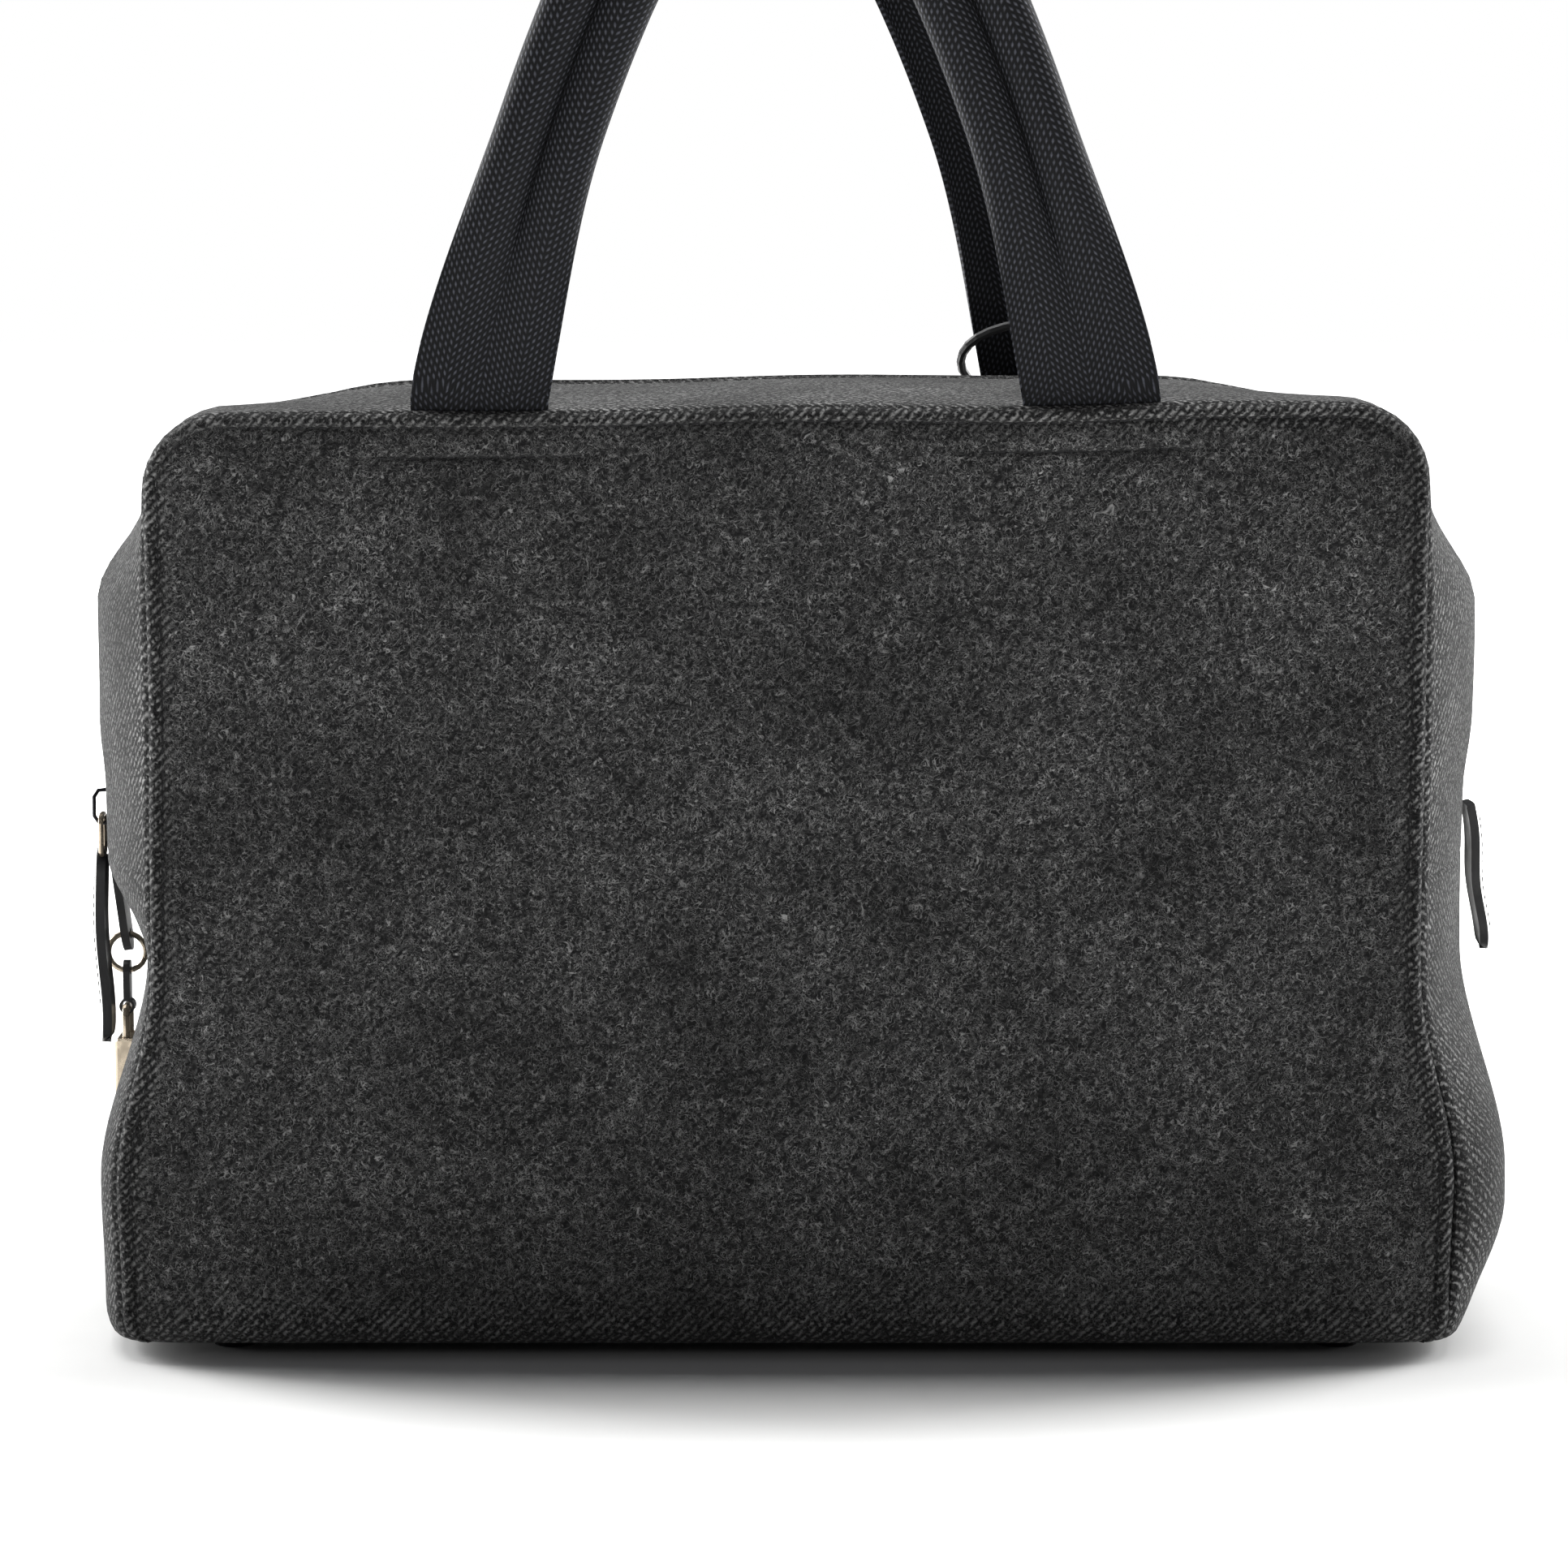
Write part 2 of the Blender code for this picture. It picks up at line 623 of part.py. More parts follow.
# The lock hangs beside the zip pull: a tab, a ring, a short strap and a padlock.
LOCK_Y = 0.0145
HOLE = Vector((-0.1955, LOCK_Y, 0.1073))
RING_RADIUS = 0.00555
RING_WIRE = 0.00085
RING_LOW = HOLE - Vector((0, 0, 2 * RING_RADIUS))
LOCK_TAB_TOP = Vector((-0.2006, 0, MOUTH_HEIGHT - 0.001))
LOCK_TAB_HALF = 0.0055
LOCK_TAB_THICKNESS = 0.0024
LOCK_TAB_SLOPE = math.radians(7.5)
TAB_HOLE = 0.0016
BELT_LENGTH = 0.0105
BELT_HALF = 0.0025
BELT_HEAD = 0.0032
BELT_THICKNESS = 0.0020
BELT_HOLE = 0.0014
BARREL = 0.0023
SHACKLE_TOP = RING_LOW - Vector((0, 0, BELT_LENGTH))
PADLOCK_HALF_WIDTH = 0.0085
PADLOCK_HALF_THICKNESS = 0.0030
PADLOCK_HEIGHT = 0.0210
PADLOCK_BEVEL = 0.0007
SHACKLE_RISE = 0.0088
SHACKLE_LEG = 0.0052
SHACKLE_ROD = 0.0011
SHACKLE_CORNER = 0.0024
SHACKLE_DEPTH = 0.010
WELL_DEPTH = 0.012
PLUG_RADIUS = 0.0022
PLUG_DEPTH = 0.006
PLUG_INSET = 0.0004
KEYWAY_HALF = (0.0004, 0.0014)
KEYWAY_DEPTH = 0.004


def across(name, centre, reach, radius, axis=(0, 1, 0)):
    """A rod through a point, used to bore or to fill a leather piece."""
    half = Vector(axis) * reach
    return cylinder(name, centre - half, centre + half, radius, "leather")


def make_lock():
    """The lock's leather tab, ring and strap, and the padlock with its shackle and key plug."""
    top = LOCK_TAB_TOP.z
    outline = round_end(LOCK_Y, HOLE.z, LOCK_TAB_HALF, 180, 180)
    outline += [(LOCK_Y + LOCK_TAB_HALF, top), (LOCK_Y - LOCK_TAB_HALF, top)]
    tab = strap("lock_tab", outline, 0, LOCK_TAB_THICKNESS, "leather")
    tab.data.transform(Matrix.Translation(LOCK_TAB_TOP) @ Matrix.Rotation(-LOCK_TAB_SLOPE, 4, "Y")
                       @ Matrix.Translation((0, 0, -top)))
    cut(tab, across("tab_hole", HOLE, LOCK_TAB_HALF, TAB_HOLE, (1, 0, 0)))
    centre = HOLE - Vector((0, 0, RING_RADIUS))
    circle = [centre + Vector((math.cos(a), 0, math.sin(a))) * RING_RADIUS
              for a in [2 * math.pi * i / 20 for i in range(20)]]
    put_curve_origin(tube("lock_ring", circle, RING_WIRE, "nickel", closed=True), HOLE)
    outline = round_end(LOCK_Y, RING_LOW.z, BELT_HEAD, 0, 180)
    outline += [(LOCK_Y - BELT_HALF, SHACKLE_TOP.z), (LOCK_Y + BELT_HALF, SHACKLE_TOP.z)]
    belt = strap("lock_strap", outline, RING_LOW.x - BELT_THICKNESS / 2, BELT_THICKNESS, "leather")
    cut(belt, across("strap_barrel", SHACKLE_TOP, BELT_HALF, BARREL), "UNION")
    cut(belt, across("strap_ring_hole", RING_LOW, 2 * BELT_THICKNESS, BELT_HOLE, (1, 0, 0)))
    cut(belt, across("strap_bore", SHACKLE_TOP, 2 * BELT_HALF, SHACKLE_ROD + 0.0005))
    put_origin(belt, RING_LOW)
    make_padlock()


def make_padlock():
    """A small padlock seen edge on: body with two shackle wells and a key plug in its foot."""
    wide, thick = PADLOCK_HALF_WIDTH, PADLOCK_HALF_THICKNESS
    x, top = SHACKLE_TOP.x, SHACKLE_TOP.z - SHACKLE_RISE
    low = top - PADLOCK_HEIGHT
    bm = bmesh.new()
    box(bm, (x - thick, LOCK_Y - wide, low), (x + thick, LOCK_Y + wide, top))
    bmesh.ops.bevel(bm, geom=bm.edges[:], offset=PADLOCK_BEVEL, segments=1, affect="EDGES")
    body = add_object("padlock_body", bm, "nickel")
    for word, side in (("front", LEFT), ("rear", RIGHT)):
        y = LOCK_Y + side * SHACKLE_LEG
        cut(body, cylinder("well_" + word, (x, y, top - WELL_DEPTH), (x, y, top + thick),
                           SHACKLE_ROD + GAP, "nickel"))
    cut(body, cylinder("plug_well", (x, LOCK_Y, low - thick), (x, LOCK_Y, low + PLUG_DEPTH),
                       PLUG_RADIUS + GAP, "nickel"))
    put_origin(body, (x, LOCK_Y, top))
    plug = cylinder("padlock_plug", (x, LOCK_Y, low + PLUG_INSET),
                    (x, LOCK_Y, low + PLUG_DEPTH - PLUG_INSET), PLUG_RADIUS, "nickel")
    slot_x, slot_y = KEYWAY_HALF
    cut(plug, cutter("keyway", (x - slot_x, LOCK_Y - slot_y, low - thick),
                     (x + slot_x, LOCK_Y + slot_y, low + KEYWAY_DEPTH)))
    put_origin(plug, (x, LOCK_Y, low))
    bend = []
    for side, start in ((RIGHT, 0), (LEFT, 90)):
        y, z = LOCK_Y + side * (SHACKLE_LEG - SHACKLE_CORNER), SHACKLE_TOP.z - SHACKLE_CORNER
        bend += [(x, *point) for point in round_end(y, z, SHACKLE_CORNER, start, 90, steps=4)]
    foot = top - SHACKLE_DEPTH
    path = [(x, LOCK_Y + SHACKLE_LEG, foot)] + bend + [(x, LOCK_Y - SHACKLE_LEG, foot)]
    put_curve_origin(tube("padlock_shackle", path, SHACKLE_ROD, "nickel"), SHACKLE_TOP)


TAB_TOP = (0.1980, 0.0, 0.1478)
TAB_TILT = math.radians(7)
TAB_LENGTH = 0.0433
TAB_HALF = 0.009
TAB_LOW_HALF = 0.0085
TAB_THICKNESS = 0.0027


def make_right_tab():
    """The leather tab that covers the zip's far end. It hangs a little away from the side."""
    outline = round_end(0, -TAB_HALF, TAB_HALF, 0, 180)
    outline += [(-TAB_LOW_HALF, -TAB_LENGTH), (TAB_LOW_HALF, -TAB_LENGTH)]
    tab = strap("zip_end_tab", outline, GAP, TAB_THICKNESS, "leather")
    tab.data.transform(Matrix.Translation(TAB_TOP) @ Matrix.Rotation(-TAB_TILT, 4, "Y"))
    put_origin(tab, TAB_TOP)


STRAP_CENTRE = Vector((HANDLE_SPACING + REAR_HANDLE_SHIFT - 0.0018, 0.0800, PANEL_TOP + 0.0067))
STRAP_TILT = math.radians(44)
STRAP_WIDE = 0.0235
STRAP_TALL = 0.0175
STRAP_WIRE = 0.0014
CASE_HALF_THICKNESS = 0.0032
CASE_HALF_OUTLINE = [(0.0040, 0), (0.0040, -0.008), (0.0075, -0.012), (0.0115, -0.050), (0.0090, -0.054)]
CASE_EYE = 0.0034
CASE_BORE = 0.0021
CASE_MOUTH = (0.0080, 0.0015, 0.018, 0.060)
KEY_BOW = 0.0065
KEY_DROP = 0.0330
KEY_BLADE = 0.0022
KEY_BLADE_LENGTH = 0.024
KEY_THICKNESS = 0.0016


def strap_loop_point(angle):
    """A point of the key strap's loop, which hangs round the rear handle's right leg."""
    drop = STRAP_TALL * math.sin(angle)
    return STRAP_CENTRE + Vector((STRAP_WIDE * math.cos(angle), drop * math.cos(STRAP_TILT),
                                  -drop * math.sin(STRAP_TILT)))


def make_key_case():
    """A strap loop round the rear handle, with a leather key case and its key hanging behind the bag."""
    loop = [strap_loop_point(2 * math.pi * i / 28) for i in range(28)]
    strap_loop = tube("key_strap", loop, STRAP_WIRE, "leather", closed=True)
    put_curve_origin(strap_loop, (0, HALF_DEPTH, MOUTH_HEIGHT))
    hang = strap_loop_point(math.pi / 2)
    left = [(hang.x - x, hang.z + z) for x, z in CASE_HALF_OUTLINE]
    right = [(hang.x + x, hang.z + z) for x, z in reversed(CASE_HALF_OUTLINE)]
    case = plate("key_case", left + right, hang.y - CASE_HALF_THICKNESS, 2 * CASE_HALF_THICKNESS, "leather")
    cut(case, across("case_eye", hang, CASE_HALF_OUTLINE[0][0], CASE_EYE, (1, 0, 0)), "UNION")
    cut(case, across("case_bore", hang, 2 * CASE_HALF_OUTLINE[0][0], CASE_BORE, (1, 0, 0)))
    wide, deep, top, low = CASE_MOUTH
    cut(case, cutter("case_mouth", hang - Vector((wide, deep, low)), hang + Vector((wide, deep, -top))))
    put_origin(case, hang)
    centre = hang.z - KEY_DROP
    bow = round_end(hang.x, centre, KEY_BOW, -70, 320, steps=12)
    tip = centre - KEY_BLADE_LENGTH
    blade = [(hang.x - KEY_BLADE, tip), (hang.x + KEY_BLADE, tip)]
    key = plate("padlock_key", bow + blade, hang.y - KEY_THICKNESS / 2, KEY_THICKNESS, "nickel")
    put_origin(key, hang)


def main():
    for obj in list(bpy.data.objects):
        bpy.data.objects.remove(obj)
    make_base()
    make_lower_lining()
    for word, side in (("front", FRONT), ("rear", REAR)):
        plate(word + "_panel_lower", lower_outline(0), side * HALF_DEPTH, -side * WOOL, "wool")
    for word, side in (("left", LEFT), ("right", RIGHT)):
        make_lower_side(word, side)
    for word, side, shift in (("front", FRONT, 0.0), ("rear", REAR, REAR_HANDLE_SHIFT)):
        make_half(word, side, shift)
        make_handle(word, side, shift)
    make_slider()
    make_lock()
    make_right_tab()
    make_key_case()


main()
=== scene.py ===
# %% [markdown]
# # A wool weekender bag
# The bag is sewn: two large panels of felted wool, a wool strip all round them with a zip down its
# middle, two handles of herringbone webbing, and small leather and metal parts. The imported model gives
# every size and every joint. It could be shaded as it is, but its walls are plain plates, so the cloth
# parts are made again here, point by point over the same sizes.

# %% Load the frame
import math

import bpy
import numpy as np
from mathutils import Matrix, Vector, noise
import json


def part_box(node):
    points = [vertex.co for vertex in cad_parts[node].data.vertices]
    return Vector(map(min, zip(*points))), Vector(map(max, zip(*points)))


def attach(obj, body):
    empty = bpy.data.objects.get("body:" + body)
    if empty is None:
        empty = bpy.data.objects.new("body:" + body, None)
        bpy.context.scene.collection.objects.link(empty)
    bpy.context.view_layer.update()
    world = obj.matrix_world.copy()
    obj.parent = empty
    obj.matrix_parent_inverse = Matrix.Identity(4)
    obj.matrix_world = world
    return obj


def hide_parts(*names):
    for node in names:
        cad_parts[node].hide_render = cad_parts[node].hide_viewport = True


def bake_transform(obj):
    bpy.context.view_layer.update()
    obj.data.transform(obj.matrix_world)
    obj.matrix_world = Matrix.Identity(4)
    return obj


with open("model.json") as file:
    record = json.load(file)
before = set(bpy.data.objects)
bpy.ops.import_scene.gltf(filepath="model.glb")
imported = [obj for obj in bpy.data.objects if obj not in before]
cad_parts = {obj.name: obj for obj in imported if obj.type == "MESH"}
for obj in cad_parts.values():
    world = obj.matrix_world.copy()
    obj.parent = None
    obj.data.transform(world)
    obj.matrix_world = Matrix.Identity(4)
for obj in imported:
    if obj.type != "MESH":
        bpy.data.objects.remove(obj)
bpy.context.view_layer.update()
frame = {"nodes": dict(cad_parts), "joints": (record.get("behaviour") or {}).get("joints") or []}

joints = {joint["name"]: joint for joint in frame["joints"]}

# %% [markdown]
# ## Sizes
# Everything hangs on a few heights and widths of the frame. Lengths are in metres; MM turns
# millimetres, in which cloth is easier to think about, into metres.

# %% Sizes from the frame
MM = 0.001
panel_low, panel_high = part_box("front_panel_upper")
TOP = panel_high.z
HALF_DEPTH = -panel_low.y
MOUTH = joints["front_mouth"]["pos_m"][2]
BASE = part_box("base_panel")[0].z
HALF_TOP = 177.5 * MM
HALF_BASE = 189.0 * MM
FLARE_HEIGHT = 160 * MM
CORNER = 22 * MM
ROLL = 9 * MM
CLOTH = 2.4 * MM
ZIP_EDGE = 6.5 * MM
ZIP_STOP = 128 * MM
SIDES = (("front", -1), ("rear", 1))
print("top seam at", round(TOP / MM, 1), "mm, half depth", round(HALF_DEPTH / MM, 1), "mm")


# %% Small helpers
def smoothstep(value):
    value = min(1.0, max(0.0, value))
    return value * value * (3 - 2 * value)


def half_width(z):
    """Half the width of the big panels at a height: straight above, flared below."""
    return HALF_TOP + (HALF_BASE - HALF_TOP) * max(0.0, 1 - z / FLARE_HEIGHT) ** 2


def settle(point):
    """The slow unevenness of soft cloth, and its droop at the rear top corners.
    Neighbouring pieces share it, so that their seams stay shut."""
    point = Vector(point)
    wander = noise.noise_vector(point * 13)
    hold = smoothstep((point.z - 0.010) / 0.050)
    rise = 1.1 * MM * max(-1.0, min(1.0, point.x / 0.120)) * smoothstep((point.z - 0.150) / 0.100)
    droop = 6 * MM * smoothstep((point.y + 0.060) / 0.100) * smoothstep((abs(point.x) - 0.115) / 0.045)
    rise -= droop * smoothstep((point.z - 0.210) / 0.050)
    return point + wander * (1.7 * MM * hold) + Vector((0, 0, rise))


def deselect():
    bpy.ops.object.select_all(action="DESELECT")


def activate(obj):
    deselect()
    obj.select_set(True)
    bpy.context.view_layer.objects.active = obj


def apply_modifier(obj, kind, **settings):
    """Adds a modifier, sets it and applies it."""
    activate(obj)
    modifier = obj.modifiers.new(kind.title(), kind)
    for key, value in settings.items():
        setattr(modifier, key, value)
    bpy.ops.object.modifier_apply(modifier=modifier.name)


def shade(obj, degrees=40):
    activate(obj)
    bpy.ops.object.shade_smooth_by_angle(angle=math.radians(degrees))


def grid_piece(name, columns, rows, place, outward, thickness, uv=None, drop=None):
    """A cut of cloth: the grid primitive with every point set at its place, then given its thickness."""
    deselect()
    across, up = len(columns) - 1, len(rows) - 1
    bpy.ops.mesh.primitive_grid_add(x_subdivisions=across, y_subdivisions=up, size=1)
    obj = bpy.context.object
    obj.name = obj.data.name = name
    cell = [(round((v.co.x + 0.5) * across), round((v.co.y + 0.5) * up)) for v in obj.data.vertices]
    for vertex, (i, j) in zip(obj.data.vertices, cell):
        vertex.co = place(columns[i], rows[j])
    if uv:
        layer = obj.data.uv_layers.active.data
        for loop in obj.data.loops:
            i, j = cell[loop.vertex_index]
            layer[loop.index].uv = uv(columns[i], rows[j])
    if drop:
        activate(obj)
        bpy.ops.object.mode_set(mode="EDIT")
        bpy.ops.mesh.select_all(action="DESELECT")
        bpy.ops.object.mode_set(mode="OBJECT")
        for face in obj.data.polygons:
            face.select = drop(face.center)
        bpy.ops.object.mode_set(mode="EDIT")
        bpy.ops.mesh.delete(type="FACE")
        bpy.ops.object.mode_set(mode="OBJECT")
    facing = sum(face.normal.dot(outward(face.center)) for face in obj.data.polygons)
    if facing < 0:
        obj.data.flip_normals()
    apply_modifier(obj, "SOLIDIFY", thickness=thickness, offset=-1.0)
    shade(obj, 60)
    return obj


def finish(obj, look, replaces=()):
    """Gives a piece its material and hides the CAD nodes that it stands for."""
    obj.data.materials.clear()
    obj.data.materials.append(look)
    if replaces:
        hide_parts(*replaces)
    return obj


def bend_with_mouth(obj):
    """Bakes the piece's placement into its mesh."""
    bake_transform(obj)


# %% [markdown]
# ## Finishes
# Each finish starts from what the real stuff is. Colours are written as the sRGB values that a
# paint or dye chart would give, and one function turns them into the linear values that light needs.
# One small function adds a node, sets it and links its inputs, so a material reads top to bottom.

# %% Colour and node helpers
def linear(hex_colour):
    """Linear colour of an sRGB hex value."""
    values = [int(hex_colour[i:i + 2], 16) / 255 for i in (0, 2, 4)]
    return tuple(v / 12.92 if v <= 0.04045 else ((v + 0.055) / 1.055) ** 2.4 for v in values) + (1.0,)


def node(tree, kind, inputs=None, **settings):
    """Adds a shader node. An input is a value, or another node's output to link."""
    made = tree.nodes.new("ShaderNode" + kind)
    for key, value in settings.items():
        setattr(made, key, value)
    for key, value in (inputs or {}).items():
        if isinstance(value, bpy.types.NodeSocket):
            tree.links.new(value, made.inputs[key])
        else:
            made.inputs[key].default_value = value
    return made.outputs[0]


def new_material(name, **sockets):
    """A material, its tree and its Principled shader with constants set on its own sockets."""
    made = bpy.data.materials.new(name)
    made.use_nodes = True
    tree = made.node_tree
    shader = tree.nodes["Principled BSDF"]
    for key, value in sockets.items():
        shader.inputs[key.replace("_", " ")].default_value = value
    return made, tree, shader


def bump(tree, shader, height, strength, distance):
    """Links a height to the shader's normal."""
    found = node(tree, "Bump", {"Height": height, "Strength": strength, "Distance": distance})
    tree.links.new(found, shader.inputs["Normal"])


def mix_colour(tree, share, first, second):
    """Mixes two colours by a share."""
    made = tree.nodes.new("ShaderNodeMix")
    made.data_type = "RGBA"
    for name, value in (("Factor_Float", share), ("A_Color", first), ("B_Color", second)):
        socket = next(s for s in made.inputs if s.identifier == name)
        if isinstance(value, bpy.types.NodeSocket):
            tree.links.new(value, socket)
        else:
            socket.default_value = value
    return next(s for s in made.outputs if s.identifier == "Result_Color")


# %% [markdown]
# ### Felted melange wool
# Dark and pale wool is spun together, woven as a twill, then fulled and brushed until a nap of
# curly fibres, 2 to 5 mm long, hides the weave. Where it is rubbed, on edges and seams, the twill's
# ribs and their pale flecks show through. A curl is a thin band where a smooth noise crosses its
# middle value: such bands wander and close on themselves as fibres do.

# %% Felted wool
def curls(tree, place, size, width, offset, seed_place):
    """Curly fibres about `size` long: the thin bands where a noise is near its middle."""
    moved = node(tree, "Mapping", {"Vector": place, "Location": offset})
    wander = node(tree, "TexNoise", {"Vector": moved, "Scale": 1 / size, "Detail": 1.0, "Distortion": 1.5})
    off_middle = node(tree, "Math", {0: wander, 1: 0.5}, operation="SUBTRACT")
    distance = node(tree, "Math", {0: off_middle}, operation="ABSOLUTE")
    band = node(tree, "MapRange", {"Value": distance, "From Min": 0.0, "From Max": width,
                                   "To Min": 1.0, "To Max": 0.0}, interpolation_type="SMOOTHSTEP")
    patch = node(tree, "TexNoise", {"Vector": seed_place, "Scale": 0.85 / size, "Detail": 1.0})
    kept = node(tree, "MapRange", {"Value": patch, "From Min": 0.38, "From Max": 0.60})
    return node(tree, "Math", {0: band, 1: kept}, operation="MULTIPLY")


def felted_wool(name, dark, middle, pale, twill_pale):
    """Napped charcoal wool over a twill ground. The attribute `rub` says where the twill shows."""
    made, tree, shader = new_material(name, Roughness=0.92, Specular_IOR_Level=0.12,
                                      Sheen_Weight=0.08, Sheen_Roughness=0.6)
    place = node(tree, "TexCoord").node.outputs["Object"]
    fine = node(tree, "TexNoise", {"Vector": place, "Scale": 1 / (0.8 * MM), "Detail": 3.0})
    grain = node(tree, "MapRange", {"Value": fine, "From Min": 0.30, "From Max": 0.70})
    ground = mix_colour(tree, grain, linear(dark), linear(middle))
    layers = []
    for size, width, offset in ((2.4, 0.034, 0.0), (3.4, 0.026, 7.3), (1.5, 0.050, 3.1)):
        shifted = node(tree, "Mapping", {"Vector": place, "Location": (offset + 1, offset, 0.5)})
        layers.append(curls(tree, place, size * MM, width, (offset, 0.7, offset), shifted))
    both = node(tree, "Math", {0: layers[0], 1: layers[1]}, operation="MAXIMUM")
    fibre = node(tree, "Math", {0: both, 1: layers[2]}, operation="MAXIMUM")
    share = node(tree, "Math", {0: fibre, 1: 0.82}, operation="MULTIPLY")
    napped = mix_colour(tree, share, ground, linear(pale))
    cloud = node(tree, "TexNoise", {"Vector": place, "Scale": 1 / (38 * MM), "Detail": 3.0})
    mottle = node(tree, "MapRange", {"Value": cloud, "From Min": 0.3, "From Max": 0.7,
                                     "To Min": 0.66, "To Max": 1.34})
    # The twill's ribs are 2 mm apart and run up to the right. A diagonal wave repeats every
    # 0.444 / scale, and short flecks of the paler yarn break each rib.
    flat = node(tree, "UVMap")
    rib = node(tree, "TexWave", {"Vector": flat, "Scale": 0.444 / (2.0 * MM), "Distortion": 1.2,
                                 "Detail": 1.0, "Detail Scale": 2.0},
               wave_type="BANDS", bands_direction="DIAGONAL").node.outputs["Fac"]
    fleck = node(tree, "TexNoise", {"Vector": place, "Scale": 1 / (1.1 * MM), "Detail": 1.0})
    flecks = node(tree, "MapRange", {"Value": fleck, "From Min": 0.42, "From Max": 0.62})
    lit = node(tree, "Math", {0: rib, 1: flecks}, operation="MULTIPLY")
    ground_twill = mix_colour(tree, lit, linear(dark), linear(twill_pale))
    worn = node(tree, "Attribute", attribute_name="rub").node.outputs["Fac"]
    cloth = mix_colour(tree, worn, napped, ground_twill)
    tone = node(tree, "CombineColor", {0: mottle, 1: mottle, 2: mottle})
    final = tree.nodes.new("ShaderNodeMix")
    final.data_type, final.blend_type = "RGBA", "MULTIPLY"
    final.inputs[0].default_value = 1.0
    tree.links.new(cloth, final.inputs[6])
    tree.links.new(tone, final.inputs[7])
    tree.links.new(final.outputs[2], shader.inputs["Base Color"])
    raised = node(tree, "Math", {0: lit, 1: worn}, operation="MULTIPLY")
    nap = node(tree, "Math", {0: fine, 1: fibre}, operation="ADD")
    height = node(tree, "Math", {0: nap, 1: raised}, operation="ADD")
    bump(tree, shader, height, 0.9, 0.45 * MM)
    return made


wool = felted_wool("felted melange wool", "0a0a0b", "1c1c1d", "a6a6a5", "919190")
print("made", wool.name)

# %% [markdown]
# ### Webbing, linings, thread and tape
# The webbing is a herringbone of polyester yarn: bands 9.5 mm wide whose floats lean one way and
# then the other. Its pattern follows the strap, so it reads the strap's own UV map, laid out in
# metres: across first, then along.

# %% Woven finishes
def herringbone_webbing(name, dark, pale):
    """Herringbone webbing: pale dashes 1.4 mm apart, in slanted rows that turn over every 9.5 mm."""
    made, tree, shader = new_material(name, Roughness=0.7, Specular_IOR_Level=0.25,
                                      Sheen_Weight=0.03, Sheen_Roughness=0.4)
    flat = node(tree, "UVMap")
    apart = node(tree, "SeparateXYZ", {0: flat})
    across, along = apart, apart.node.outputs[1]
    turned = node(tree, "Math", {0: across, 1: 9.5 * MM}, operation="PINGPONG")
    run = node(tree, "Math", {0: along, 1: turned}, operation="ADD")
    dashes = []
    for length, pitch in ((run, 2.1 * MM), (across, 1.4 * MM)):
        turns = node(tree, "Math", {0: length, 1: 2 * math.pi / pitch}, operation="MULTIPLY")
        wave = node(tree, "Math", {0: turns}, operation="COSINE")
        dashes.append(node(tree, "MapRange", {"Value": wave, "From Min": -0.45, "From Max": 0.9}))
    high = node(tree, "Math", {0: dashes[0], 1: dashes[1]}, operation="MULTIPLY")
    fuzz = node(tree, "TexNoise", {"Vector": node(tree, "TexCoord").node.outputs["Object"],
                                   "Scale": 1 / (0.7 * MM), "Detail": 2.0})
    share = node(tree, "Math", {0: high, 1: fuzz}, operation="MULTIPLY")
    bright = node(tree, "Math", {0: share, 1: 1.9}, operation="MULTIPLY", use_clamp=True)
    colour = mix_colour(tree, bright, linear(dark), linear(pale))
    tree.links.new(colour, shader.inputs["Base Color"])
    bump(tree, shader, high, 0.8, 0.30 * MM)
    return made


def plain_weave(name, dark, pale, pitch, rough):
    """Fine plain weave: noise stretched by its own bump, drawn at about the thread pitch."""
    made, tree, shader = new_material(name, Roughness=rough, Specular_IOR_Level=0.35, Sheen_Weight=0.15)
    place = node(tree, "TexCoord").node.outputs["Object"]
    thread = node(tree, "TexNoise", {"Vector": place, "Scale": 1 / pitch, "Detail": 2.0})
    share = node(tree, "MapRange", {"Value": thread, "From Min": 0.35, "From Max": 0.65})
    colour = mix_colour(tree, share, linear(dark), linear(pale))
    tree.links.new(colour, shader.inputs["Base Color"])
    bump(tree, shader, thread, 0.5, 0.15 * MM)
    return made


webbing = herringbone_webbing("herringbone webbing", "06070a", "50525a")
lining = plain_weave("woven nylon lining", "181920", "2c2e36", 0.7 * MM, 0.55)
tape = plain_weave("woven zip tape", "0f1013", "24262b", 0.8 * MM, 0.85)
thread_look = plain_weave("waxed sewing thread", "0c0c0e", "1d1d20", 0.5 * MM, 0.6)
print("made", webbing.name, lining.name, tape.name, thread_look.name)


# %% [markdown]
# ### Leather, metal, rubber and board
# The leather is black calf with a closed, nearly smooth grain, and its cut edges are painted. The
# metal is nickel plate over brass, a little warm and softly scratched; the zip's is lacquered black.

